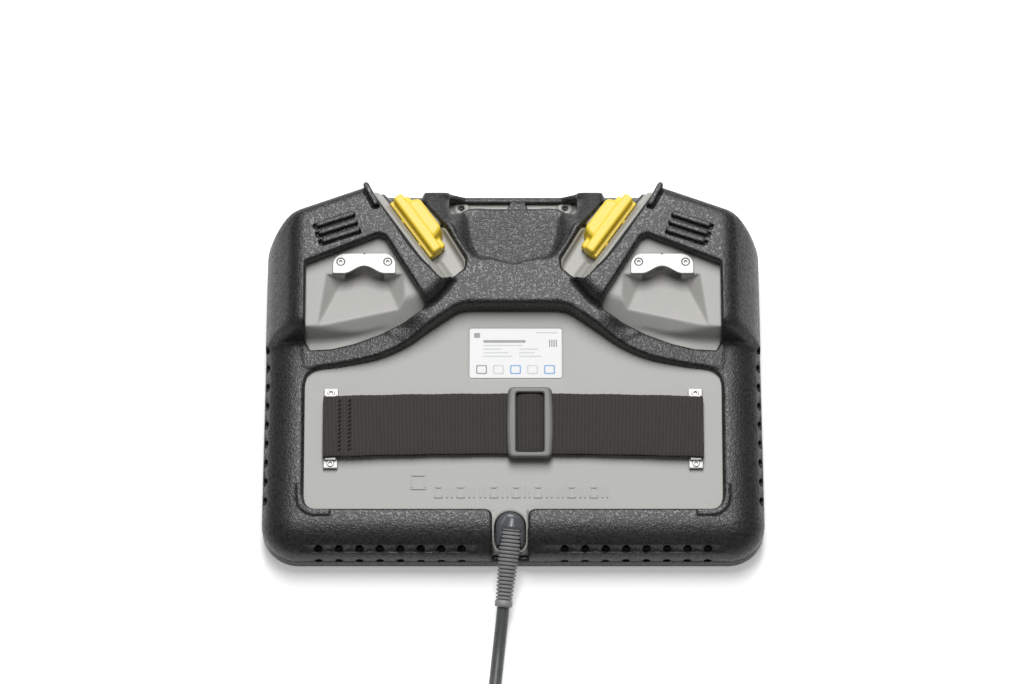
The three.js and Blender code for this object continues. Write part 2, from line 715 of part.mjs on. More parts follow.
function cablePlug() {
  const start = COIL_X - TAIL_LEVEL - TAIL_DROP - 0.3;
  const at = (t) => [start - t, TAIL_Y, PLUG_Z];
  return join([
    rod(at(0), at(12), 6, 8.6, 14), rod(at(11), at(42), 9.2, 9.2, 16), rod(at(20), at(33), 11, 11, 16),
    rod(at(41), at(50), 8, 8, 14),
  ]);
}

// ---------- assembly ----------
const pendant = new THREE.Group();
pendant.name = 'teach_pendant';

function place(name, body, look, parent = pendant) {
  const mesh = new THREE.Mesh(geometryOf(body), look());
  mesh.name = name;
  parent.add(mesh);
  return mesh;
}

function pair(name, body, look) {
  place(`${name}_right`, body, look);
  place(`${name}_left`, mirror(body), look);
}

place('front_bumper', frontBumper(), RUBBER);
place('front_frame', frontFrame(), GREY);
place('housing_gasket', housingGasket(), BLACK);
place('touch_glass', touchGlass(), GLASS);
place('display_module', displayModule(), BLACK);
place('chassis_plate', chassisPlate(), STEEL);
place('main_board', mainBoard(), BOARD);
place('heat_sink', heatSink(), STEEL);
place('board_connector', boardConnector(), BLACK);
place('inner_lead', innerLead(), BLACK);
place('cable_clamp', cableClamp(), BLACK);
place('rear_housing', rearHousing(), GREY);
place('rear_bumper', rearBumper(), RUBBER);
pair('switch_button', switchButton(), YELLOW);
pair('switch_module', switchModule(), BLACK);
place('stop_head', stopHead(), RED);
place('stop_stem', stopStem(), BLACK);
place('stop_collar', stopCollar(), YELLOW);
place('stop_block', stopBlock(), BLACK);
place('power_button', powerButton(), BLACK);
place('power_module', powerModule(), BOARD);
place('usb_port', usbPort(), STEEL);
place('usb_cover', usbCover(), RUBBER);
pair('hanger_plate', hangerPlate(), STEEL);
pair('hanger_screw_inner', hangerScrew(-1), STEEL);
pair('hanger_screw_outer', hangerScrew(1), STEEL);
place('strap', strap(), WEB);
pair('strap_clamp', strapClamp(), STEEL);
pair('strap_screw_upper', strapScrew(1), STEEL);
pair('strap_screw_lower', strapScrew(-1), STEEL);
place('buckle', buckle(), BLACK);
place('label', label(), () => material(0xf2f2f0, 0.5, 0));
pair('slot_screw', slotScrew(), STEEL);
place('cable_gland', cableGland(), BLACK);
place('cable_boot', boot(), BLACK);
place('cable', cable(), BLACK);
place('cable_coil', cableCoil(), BLACK);
place('coil_tie', coilTie(), WEB);
place('cable_tail', cableTail(), BLACK);
place('cable_plug', cablePlug(), BLACK);

export default pendant;
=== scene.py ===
import math

import bpy
import bmesh
import numpy as np
from mathutils import Matrix, Vector


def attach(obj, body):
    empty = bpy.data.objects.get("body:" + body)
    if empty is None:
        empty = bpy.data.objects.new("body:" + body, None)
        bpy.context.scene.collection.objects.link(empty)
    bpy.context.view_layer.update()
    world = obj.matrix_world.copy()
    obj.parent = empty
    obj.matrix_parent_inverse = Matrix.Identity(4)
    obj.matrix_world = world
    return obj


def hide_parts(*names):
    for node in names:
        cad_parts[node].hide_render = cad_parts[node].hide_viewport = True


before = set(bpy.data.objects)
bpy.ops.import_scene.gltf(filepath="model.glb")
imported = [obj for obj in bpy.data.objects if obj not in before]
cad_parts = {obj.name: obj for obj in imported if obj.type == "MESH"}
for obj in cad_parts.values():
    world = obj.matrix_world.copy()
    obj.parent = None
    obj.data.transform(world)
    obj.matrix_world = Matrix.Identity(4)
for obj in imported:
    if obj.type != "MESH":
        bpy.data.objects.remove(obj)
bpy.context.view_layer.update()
MM = 0.001


def place(name, data):
    obj = bpy.data.objects.new(name, data)
    bpy.context.scene.collection.objects.link(obj)
    return obj


# ------------ camera
CAMERA_AT = Vector((-0.00072, -1.05351, 2.97201))
ELEVATION = math.radians(70.0)

right = Vector((1, 0, 0))
up = Vector((0, math.sin(ELEVATION), math.cos(ELEVATION)))
back = Vector((0, -math.cos(ELEVATION), math.sin(ELEVATION)))
cam = bpy.data.cameras.new("camera")
cam.lens = 183.2
cam.sensor_width = 36.0
cam.clip_end = 20.0
camera = place("camera", cam)
camera.matrix_world = Matrix.Translation(CAMERA_AT) @ Matrix((right, up, back)).transposed().to_4x4()
bpy.context.scene.camera = camera


# ------------ materials
class Look:
    """A principled material, and the nodes that the surfaces here are made from."""

    def __init__(self, name, stretch=(1, 1, 1)):
        self.material = bpy.data.materials.new(name)
        self.material.use_nodes = True
        self.tree = self.material.node_tree
        self.bsdf = self.tree.nodes["Principled BSDF"]
        at = self.node("TexCoord", "Object", {})
        self.at = self.node("Mapping", "Vector", {"Vector": at, "Scale": stretch})

    def feed(self, node, inputs):
        """Set each input to a number or colour, or link it to another node's output."""
        for key, value in inputs.items():
            if isinstance(value, bpy.types.NodeSocket):
                self.tree.links.new(value, node.inputs[key])
            else:
                node.inputs[key].default_value = value

    def node(self, kind, output, inputs, **settings):
        node = self.tree.nodes.new("ShaderNode" + kind)
        for key, value in settings.items():
            setattr(node, key, value)
        self.feed(node, inputs)
        return node.outputs[output]

    def noise(self, scale, detail=3.0, rough=0.5, distortion=0.0):
        return self.node("TexNoise", "Fac", {"Vector": self.at, "Scale": scale, "Detail": detail,
                                             "Roughness": rough, "Distortion": distortion})

    def bands(self, direction, scale, distortion, detail):
        return self.node("TexWave", "Fac", {"Vector": self.at, "Scale": scale, "Distortion": distortion,
                                            "Detail": detail}, wave_type="BANDS", bands_direction=direction)

    def sum(self, a, b, share=1.0, other=1.0, operation="ADD"):
        """share * a + other * b, or another operation on the two."""
        a = a if share == 1.0 else self.sum(a, share, operation="MULTIPLY")
        b = b if other == 1.0 else self.sum(b, other, operation="MULTIPLY")
        return self.node("Math", 0, {0: a, 1: b}, operation=operation)

    def between(self, value, low, high):
        return self.node("MapRange", "Result", {"Value": value, "To Min": low, "To Max": high})

    def tones(self, value, *stops):
        """A colour ramp with two stops, each (position, colour)."""
        node = self.tree.nodes.new("ShaderNodeValToRGB")
        for element, (at, colour) in zip(node.color_ramp.elements, stops):
            element.position = at
            element.color = (*colour, 1)
        self.tree.links.new(value, node.inputs["Fac"])
        return node.outputs["Color"]

    def finish(self, colour, rough, relief, strength, depth, **inputs):
        normal = self.node("Bump", "Normal", {"Height": relief, "Strength": strength, "Distance": depth})
        self.feed(self.bsdf, {"Base Color": colour, "Roughness": rough, "Normal": normal})
        self.feed(self.bsdf, {key.replace("_", " "): value for key, value in inputs.items()})
        return self.material


def grained(name, dark, light, rough, grain, depth, strength=0.5, **more):
    """A moulded surface: fine grain in the bump, slow variation in the colour."""
    look = Look(name)
    fine = look.noise(grain, 2.0, 0.6)
    slow = look.noise(35.0, 4.0, 0.6)
    colour = look.tones(look.sum(fine, slow, 0.35, 0.65), (0.3, dark), (0.7, light))
    gloss = look.between(slow, max(0.03, rough - 0.06), min(1.0, rough + 0.06))
    return look.finish(colour, gloss, fine, strength, depth, **more)


def leather(name):
    """Charcoal rubber with a raised, wormy grain about a millimetre across. Its colour is painted lighter on the
    grain's ridges and darker in its hollows: painted highlight and painted shade on the grain, over a slow, real
    variation in tone.
    """
    look = Look(name)
    worm = look.noise(640.0, 1.5, 0.45, 1.1)
    pebble = look.node("MapRange", "Result", {"Value": worm, "From Min": 0.36, "From Max": 0.64},
                       interpolation_type="SMOOTHSTEP")
    relief = look.sum(pebble, look.noise(2100.0, 2.0, 0.6), 1.0, 0.3)
    # colour: painted highlight on the raised grain and painted shade in its hollows, mixed with a slow real variation
    # in tone
    tone = look.sum(pebble, look.noise(28.0, 3.0, 0.55), 0.75, 0.25)
    colour = look.tones(tone, (0.12, (0.003, 0.003, 0.003)), (0.9, (0.026, 0.0255, 0.025)))
    gloss = look.tones(pebble, (0.1, (0.46,) * 3), (0.9, (0.32,) * 3))
    return look.finish(colour, gloss, relief, 0.26, 0.0004)


def brushed(name, colour, rough=0.32, along=(30, 2600, 600)):
    look = Look(name, along)
    streak = look.noise(1.0, 3.0, 0.6)
    tone = look.tones(streak, (0.3, tuple(c * 0.86 for c in colour)), (0.7, colour))
    return look.finish(tone, look.between(streak, rough - 0.08, rough + 0.1), streak, 0.15, 0.00004, Metallic=1.0)


def woven(name):
    """Dark webbing: fine ribs across its width, thinner yarns along it. Its colour follows the same relief, near
    black in the gaps and with lighter speckle on top: painted shade and painted highlight over the webbing's dark
    tone.
    """
    look = Look(name)
    weave = look.sum(look.bands("X", 385.0, 0.4, 1.0), look.bands("Y", 520.0, 0.8, 2.0), 0.7, 0.3)
    weave = look.sum(weave, look.noise(2500.0, 3.0, 0.7), 1.0, 0.95)
    weave = look.sum(weave, 0.33, operation="SUBTRACT")
    # colour: painted shade in the gaps between ribs and yarns, painted highlight speckle on them
    colour = look.tones(weave, (0.3, (0.006, 0.005, 0.0045)), (1.0, (0.075, 0.067, 0.058)))
    return look.finish(colour, 0.85, weave, 0.8, 0.0003, Sheen_Weight=0.05)


RUBBER = leather("rubber_leather")
GREY = grained("grey_moulding", (0.345, 0.342, 0.322), (0.395, 0.39, 0.368), 0.5, 1000.0, 0.00016, 0.45)
# a slightly darker copy of the housing grey: painted shade for the switch channels and the top slot
RECESS_SHADE_GREY = grained("recess_shaded_grey", (0.33, 0.325, 0.3), (0.37, 0.365, 0.345), 0.45, 1300.0, 0.0001, 0.3)
YELLOW = grained("yellow_moulding", (0.78, 0.56, 0.035), (0.84, 0.62, 0.05), 0.42, 900.0, 0.00004, 0.2)
STEEL = brushed("brushed_steel", (0.5, 0.495, 0.48), 0.55)
SCREW = brushed("screw_steel", (0.42, 0.42, 0.41), 0.5, (900, 900, 900))
WEBBING = woven("webbing")
BUCKLE = grained("buckle_moulding", (0.088, 0.088, 0.083), (0.116, 0.116, 0.109), 0.42, 1200.0, 0.00006, 0.3)
GLAND = grained("gland_moulding", (0.062, 0.066, 0.074), (0.085, 0.09, 0.1), 0.34, 700.0, 0.00005, 0.2,
                Coat_Weight=0.1)
BOOT = grained("boot_rubber", (0.2, 0.202, 0.202), (0.26, 0.263, 0.263), 0.5, 1200.0, 0.00008, 0.35)
JACKET = grained("cable_jacket", (0.055, 0.06, 0.058), (0.105, 0.112, 0.11), 0.4, 260.0, 0.0001, 0.35)
PLUG = grained("plug_shell", (0.02, 0.02, 0.021), (0.034, 0.034, 0.035), 0.38, 900.0, 0.00008, 0.3)
BLACK = grained("black_moulding", (0.012, 0.012, 0.013), (0.024, 0.024, 0.025), 0.5, 1200.0, 0.00008, 0.3)
SEAL = grained("seal_rubber", (0.02, 0.02, 0.02), (0.035, 0.035, 0.034), 0.7, 900.0, 0.0001, 0.4)
RED = grained("red_moulding", (0.55, 0.012, 0.01), (0.64, 0.02, 0.016), 0.32, 900.0, 0.00004, 0.2, Coat_Weight=0.2)
BOARD = grained("circuit_board", (0.01, 0.085, 0.035), (0.02, 0.13, 0.055), 0.4, 500.0, 0.00006, 0.3)
ALU = brushed("aluminium", (0.6, 0.6, 0.61), 0.42, (40, 1800, 400))
DARK_GLASS = grained("screen_glass", (0.006, 0.007, 0.009), (0.01, 0.011, 0.014), 0.09, 60.0, 0.00001, 0.03,
                     Coat_Weight=0.6)


# ------------ the cord
CORD_D = 7.5
EXIT = (-5.9, -143.2, 11.2)
LEAD = [EXIT, (-6.8, -152, 8.2), (-7.8, -161, 5.9), (-8.8, -170, 4.4), (-9.8, -180, 3.95), (-10.6, -187.6, 3.95),
        (-11.46, -195.25, 3.95), (-13.23, -203.4, 3.95), (-16.63, -211.1, 3.95), (-22, -220.4, 4.2),
        (-27, -229.06, 4.5), (-32, -237.72, 4.7), (-36.71, -245.87, 4.7)]
COIL_AT = (12.0, -274.0)
COLUMNS = (56.25, 48.75, 41.25, 33.75)
ROWS = (4.7, 12.2, 19.7, 27.2)
TAIL_LEVEL, TAIL_DROP, PLUG_Z = 15.0, 55.0, 11.3


def ease(x, x0, x1):
    """A smooth step from 0 at x0 to 1 at x1."""
    t = np.clip((x - x0) / (x1 - x0), 0, 1)
    return t * t * (3 - 2 * t)


def curve_through(points, steps=4):
    """A Catmull-Rom line through the points, up to the last one and without it."""
    p = [Vector(q) for q in points]
    p = [p[0] * 2 - p[1]] + p + [p[-1] * 2 - p[-2]]
    out = []
    for a, b, c, d in zip(p, p[1:], p[2:], p[3:]):
        for k in range(steps):
            t = k / steps
            out.append(0.5 * ((2 * b) + (c - a) * t + (2 * a - 5 * b + 4 * c - d) * t ** 2
                              + (3 * b - a - 3 * c + d) * t ** 3))
    return out


def coil_points(step=5):
    """Wound from the outside in and out again, row on row, ending outermost on top."""
    lanes = [(r, ROWS[0]) for r in COLUMNS] + [(r, ROWS[1]) for r in reversed(COLUMNS)]
    lanes += [(r, ROWS[2]) for r in COLUMNS] + [(r, ROWS[3]) for r in reversed(COLUMNS[:3])]
    out, last = [], len(lanes) - 1
    for angle in range(150, 90 + 360 * 15 + 1, step):
        lane = min((angle - 130) // 360, last)
        since = angle - 130 - 360 * lane
        here, after = lanes[lane], lanes[min(lane + 1, last)]
        if lane == last:
            before = lanes[lane - 1]
            r, z = before[0] + (here[0] - before[0]) * ease(since, 20, 80), here[1]
        elif lane == last - 1:
            r, z = here
        else:
            t = (since - 300) / 60
            lift_first = 0.45 if here[0] != after[0] and here[1] != after[1] else 1.0
            r = here[0] + (after[0] - here[0]) * ease(t, 1 - lift_first, 1)
            z = here[1] + (after[1] - here[1]) * ease(t, 0, lift_first)
        a = math.radians(angle)
        out.append(Vector((COIL_AT[0] + r * math.cos(a), COIL_AT[1] + r * math.sin(a), z)))
    return out


def tail_points():
    y = COIL_AT[1] + COLUMNS[0]
    out = [Vector((COIL_AT[0] - 5.0 * k, y, ROWS[3])) for k in range(1, 4)]
    for i in range(1, 15):
        t = i / 14
        z = ROWS[3] + (PLUG_Z - ROWS[3]) * (1 - math.cos(math.pi * t)) / 2
        out.append(Vector((COIL_AT[0] - TAIL_LEVEL - TAIL_DROP * t, y, z)))
    return out


route = curve_through(LEAD) + coil_points() + tail_points()
curve = bpy.data.curves.new("cable_run", "CURVE")
curve.dimensions = "3D"
curve.bevel_depth = 1.0
curve.bevel_resolution = 4
curve.use_fill_caps = True
spline = curve.splines.new("POLY")
spline.points.add(len(route) - 1)
for point, at in zip(spline.points, route):
    point.co = (*(at * MM), 1)
    point.radius = CORD_D / 2 * MM
spline.use_smooth = True
cord = place("cable_run", curve)
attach(cord, "pendant")
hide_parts("cable", "cable_coil", "cable_tail")


# ------------ outlines, in millimetres
def arc(x, y, r, start, end, steps):
    angles = [math.radians(start + (end - start) * i / steps) for i in range(steps + 1)]
    return [(x + r * math.cos(a), y + r * math.sin(a)) for a in angles]


def round_rect(x, y, hx, hy, r, steps=6):
    corners = ((1, -1, -90), (1, 1, 0), (-1, 1, 90), (-1, -1, 180))
    out = []
    for sx, sy, a in corners:
        out += arc(x + sx * (hx - r), y + sy * (hy - r), r, a, a + 90, steps)
    return out


def mirrored(points):
    """A right half from bottom to top, closed by its mirror image."""
    return list(points) + [(-x, y) for x, y in reversed(points)]


def smooth_line(points):
    return [tuple(v) for v in curve_through(points, 6) + [Vector(points[-1])]]


HALF_X, HALF_Y, CORNER_R = 150.0, 115.5, 22.0
SHOULDER_X, SHOULDER_R, EAR_X, EAR_Y = 148.5, 26.0, 88.0, 112.5
SPLIT_Z, PANEL_Z, FRAME_Z, SHELF_Z, GRIP_Z = 12.0, 28.0, 31.0, 41.0, 50.0
POCKET_Z, CHANNEL_Z, SLOT_Z = 42.0, 34.0, 17.0
CHANNEL_X, CHANNEL_Y, CHANNEL_TURN = 41.0, 53.0, math.radians(54.9)
SKIN, GAP, WALL = 3.0, 0.3, 2.5


def shell_outline():
    slope = math.radians(20)
    end_x = SHOULDER_X - SHOULDER_R + SHOULDER_R * math.sin(slope)
    end_y = EAR_Y - (end_x - EAR_X) * math.tan(slope)
    mid_y = end_y - SHOULDER_R * math.cos(slope)
    return mirrored(arc(HALF_X - CORNER_R, -HALF_Y + CORNER_R, CORNER_R, -90, 0, 16)
                    + arc(SHOULDER_X - SHOULDER_R, mid_y, SHOULDER_R, 0, 70, 14)
                    + [(EAR_X, EAR_Y), (80, HALF_Y)])


def channel_point(u, n):
    """The place u along the right channel's length and n across it."""
    c, s = math.cos(CHANNEL_TURN), math.sin(CHANNEL_TURN)
    return CHANNEL_X + u * c - n * s, CHANNEL_Y + u * s + n * c


GRIP_OUTLINE = (smooth_line([(46, 41), (62, 30), (80, 21.5), (100, 15.5), (124, 14.5), (149.2, 15.5)])
                + [p for p in shell_outline() if p[0] > 80.5 and p[1] > 50] + [(78, 113.2), (36, 53)])
SHELF_OUTLINE = mirrored([(27, 38.2), (34, 36.2), (49, 25.4), (64, 14), (84, 24), (60, 60), (58, 92)])
WEB_OUTLINE = [(30, 88), (60, 88), (62, 96), (54, 114.6), (30, 114.6)]
BAND_OUTLINE = mirrored([(20, 38.2)] + smooth_line([(34, 36.2), (49, 25.4), (64, 14), (81, 6.2), (103, 1.6),
                                                    (126, -0.2)]) + [(128, 30), (100, 60), (20, 60)])
PANEL_OUTLINE = mirrored(arc(118, -81.5, 6, -90, 0, 8) + [(124.3, -9.5)]
                         + smooth_line([(123.7, -4.8), (119.8, -1.3), (113.5, 0.4), (103, 1.7), (81, 6.4), (64, 14.2),
                                        (49, 24.9), (34, 35.2), (27, 37.1)]))
HANGER_OUTLINE = [(109, 12.4), (122, 12), (124.4, 17), (124.4, 61.8), (81, 79.6), (77, 78), (53, 38.5),
                  (54.5, 34.5), (65, 27.6), (80, 20.6), (95, 15.4)]
CHANNEL_OUTLINE = [channel_point(u, n) for u, n in
                   ((-0.4, 1.4), (0.4, -1.0), (2.8, -1.9), (78, -0.8), (78, 20.9), (4.0, 15.0), (0.8, 14.6),
                    (-0.2, 13.4))]
POCKET_OUTLINE = mirrored(smooth_line([(2, 64.2), (7, 66), (13.6, 67.3), (20, 67.4), (24.8, 69.8), (30.2, 76.6),
                                       (34.7, 85.3), (37.6, 96), (38.4, 109)]))


# ------------ moulded shapes from distance fields
def outline_distance(points, x, y):
    """Signed distance to a closed outline, negative inside."""
    best = np.full(x.shape, 1e9)
    inside = np.zeros(x.shape, bool)
    for (ax, ay), (bx, by) in zip(points, points[1:] + points[:1]):
        ex, ey = bx - ax, by - ay
        wx, wy = x - ax, y - ay
        t = np.clip((wx * ex + wy * ey) / max(ex * ex + ey * ey, 1e-9), 0, 1)
        best = np.minimum(best, (wx - ex * t) ** 2 + (wy - ey * t) ** 2)
        if ay != by:
            inside ^= ((ay > y) != (by > y)) & (x < ex * (y - ay) / ey + ax)
    return (np.where(inside, -1, 1) * np.sqrt(best)).astype(np.float32)


def smax(a, b, r):
    """The larger of two fields, with the corner between them rounded."""
    h = np.maximum(r - np.abs(a - b), 0)
    return np.maximum(a, b) + h * h * (0.25 / r)


def smin(a, b, r):
    return -smax(-a, -b, r)


def carve(body, tool, r=0.0):
    return smax(body, -tool, r) if r else np.maximum(body, -tool)


def most(first, *others):
    """The largest of several fields: the space that they share."""
    for other in others:
        first = np.maximum(first, other)
    return first


def grid(low, high, step):
    """Coordinate arrays that broadcast to a block of cells."""
    axes = [np.arange(a, b + step, step, dtype=np.float32) for a, b in zip(low, high)]
    return axes[0][:, None, None], axes[1][None, :, None], axes[2][None, None, :]


def field_mesh(field, low, step):
    """Vertices and quads of the zero surface: one vertex for each cell that the surface crosses."""
    s = field < 0
    count = np.zeros([n - 1 for n in field.shape], np.int8)
    corner = {}
    for key in np.ndindex(2, 2, 2):
        corner[key] = tuple(slice(d, n - 1 + d) for d, n in zip(key, field.shape))
        count += s[corner[key]]
    active = (count > 0) & (count < 8)
    index = np.full(active.shape, -1, np.int64)
    cells = np.argwhere(active)
    index[active] = np.arange(len(cells))
    total = np.zeros((len(cells), 3))
    hits = np.zeros(len(cells))
    value = {key: field[part][active] for key, part in corner.items()}
    for axis in range(3):
        for key in corner:
            if key[axis]:
                continue
            end = tuple(1 if i == axis else k for i, k in enumerate(key))
            a, b = value[key], value[end]
            crossed = (a < 0) != (b < 0)
            t = a[crossed] / (a[crossed] - b[crossed])
            point = np.tile(np.array(key, float), (len(t), 1))
            point[:, axis] = t
            total[crossed] += point
            hits[crossed] += 1
    verts = np.array(low) + (cells + total / hits[:, None]) * step
    quads = []
    for axis in range(3):
        u, v = (axis + 1) % 3, (axis + 2) % 3
        span = [slice(1, n - 1) for n in field.shape]
        first, second = list(span), list(span)
        first[axis] = slice(0, field.shape[axis] - 1)
        second[axis] = slice(1, field.shape[axis])
        a, b = s[tuple(first)], s[tuple(second)]
        edges = np.argwhere(a != b)
        flip = a[a != b]
        base = edges + 1
        base[:, axis] -= 1
        around = []
        for du, dv in ((-1, -1), (0, -1), (0, 0), (-1, 0)):
            c = base.copy()
            c[:, u] += du
            c[:, v] += dv
            around.append(index[c[:, 0], c[:, 1], c[:, 2]])
        q = np.stack(around, 1)
        q[~flip] = q[~flip][:, ::-1]
        quads.append(q)
    return verts, np.concatenate(quads)


def piece(name, mesh, *materials, smooth=True):
    if smooth:
        mesh.shade_smooth()
    for material in materials:
        mesh.materials.append(material)
    return place(name, mesh)


def from_faces(name, verts, faces):
    mesh = bpy.data.meshes.new(name)
    mesh.from_pydata(verts, [], faces)
    return mesh


def from_bmesh(name, bm):
    mesh = bpy.data.meshes.new(name)
    bm.to_mesh(mesh)
    bm.free()
    return mesh


def quad_piece(name, verts, faces, material):
    mesh = bpy.data.meshes.new(name)
    mesh.vertices.add(len(verts))
    mesh.vertices.foreach_set("co", (verts * MM).ravel())
    mesh.loops.add(faces.size)
    mesh.loops.foreach_set("vertex_index", faces.ravel())
    mesh.polygons.add(len(faces))
    mesh.polygons.foreach_set("loop_start", np.arange(0, faces.size, 4))
    mesh.update(calc_edges=True)
    mesh.validate()
    return piece(name, mesh, material)


def moulded(name, field, low, high, step, material):
    """A piece whose surface is where field(x, y, z) is zero, in millimetres."""
    return quad_piece(name, *field_mesh(field(*grid(low, high, step)), low, step), material)


def apply_modifiers(obj):
    deps = bpy.context.evaluated_depsgraph_get()
    mesh = bpy.data.meshes.new_from_object(obj.evaluated_get(deps))
    obj.modifiers.clear()
    old, obj.data = obj.data, mesh
    bpy.data.meshes.remove(old)


def thin_out(obj, ratio):
    obj.modifiers.new("fewer", "DECIMATE").ratio = ratio
    apply_modifiers(obj)
    obj.data.shade_smooth()


def settle(obj, body, slot, *nodes):
    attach(obj, body)
    if nodes:
        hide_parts(*nodes)


# ------------ the two rear shells
STEP = 0.8
ROLL = 22.0
LOW, HIGH = (-151.2, -117.6, 10.6), (151.2, 117.6, 52.2)


def ramp(x, x0, x1):
    return np.clip((x - x0) / (x1 - x0), 0, 1)


def facet(x, y, z, at, normal):
    """Distance in front of a plane whose normal points out of the space taken away."""
    return (x - at[0]) * normal[0] + (y - at[1]) * normal[1] + (z - at[2]) * normal[2]


BOSS_X, BOSS_Y = 31.5, 108.3
GLAND_X, GLAND_Y = -1.8, -98.5
LABEL_X, LABEL_Y = 1.5, 10.8
SLOT_OUTLINE = mirrored([(22, 104.7), (27, 104.2), (31.5, 101.9), (35.4, 99.0), (37.8, 98.9), (38.6, 100.8),
                         (38.6, 109.7), (37.4, 110.8)])
RIM_OUTLINE = [channel_point(u, n) for u, n in
               ((-1.0, 1.4), (0.0, -1.8), (3.0, -3.2), (8, -4.2), (17, -5.6), (30, -6.2), (50, -5.4), (78, -4.4),
                (78, 10), (5, 10), (-0.6, 10))]


def vent_places():
    rows = [(s * 149.2, -80.8 + 12.0 * i, 21.5, s, 0, 0.3, 2.6) for s in (-1, 1) for i in range(9)]
    for s in (-1, 1):
        for i in range(8):
            x = s * (30.6 + 12.15 * i)
            rows.append((x, -111.4, 24.4, 0, -0.74, 0.67, 2.6))
            rows.append((x, -HALF_Y, 14.6 if i > 2 else 13.6, 0, -1, 0, 2.4))
    return rows


def tombstone(x, y, grow=0.0):
    """Plan of the cable gland: a round top and a body with rounded lower corners."""
    side = np.abs(x - GLAND_X) - 9.0 - grow
    top = np.hypot(x - GLAND_X, y - GLAND_Y) - 9.0 - grow
    body = smax(side, -111.3 - grow - y, 6.0)
    return np.where(y > GLAND_Y, top, body)


def rib_bars(wide, y):
    """The three grip bars and the short bar at the ear: plan, which side is grooved, height."""
    out = []
    for rx, ry in ((107.2, 89.0), (105.6, 83.9), (103.7, 78.8)):
        u = (wide - rx) * 0.9455 - (y - ry) * 0.3256
        v = (wide - rx) * 0.3256 + (y - ry) * 0.9455
        out.append((smax(np.abs(u) - 12.6, np.abs(v) - 1.7, 2.2), np.maximum(v - 0.6, -11.8 - u), 0.45))
    u = (wide - 85.8) * 0.45 + (y - 105.0) * 0.893
    v = (wide - 85.8) * 0.893 - (y - 105.0) * 0.45
    out.append((smax(np.abs(u) - 8.4, np.abs(v) - 1.8, 2.4), -v - 1.2, 1.4))
    return out


def grip_end(y, z):
    """The steep face at the grips' end nearest the strap."""
    return (z - (FRAME_Z + (y - 15.5) * 2.7)) * 0.347


def rib_field(x, y, z):
    d = np.full(np.broadcast_shapes(x.shape, y.shape, z.shape), 1e3)
    for bar, _, height in rib_bars(x, y):
        d = np.minimum(d, smax(bar, z - (GRIP_Z + height), 1.3))
    d = np.maximum(d, GRIP_Z - 3.0 - z)
    return np.maximum(d, grip_end(y, z) - 0.8)


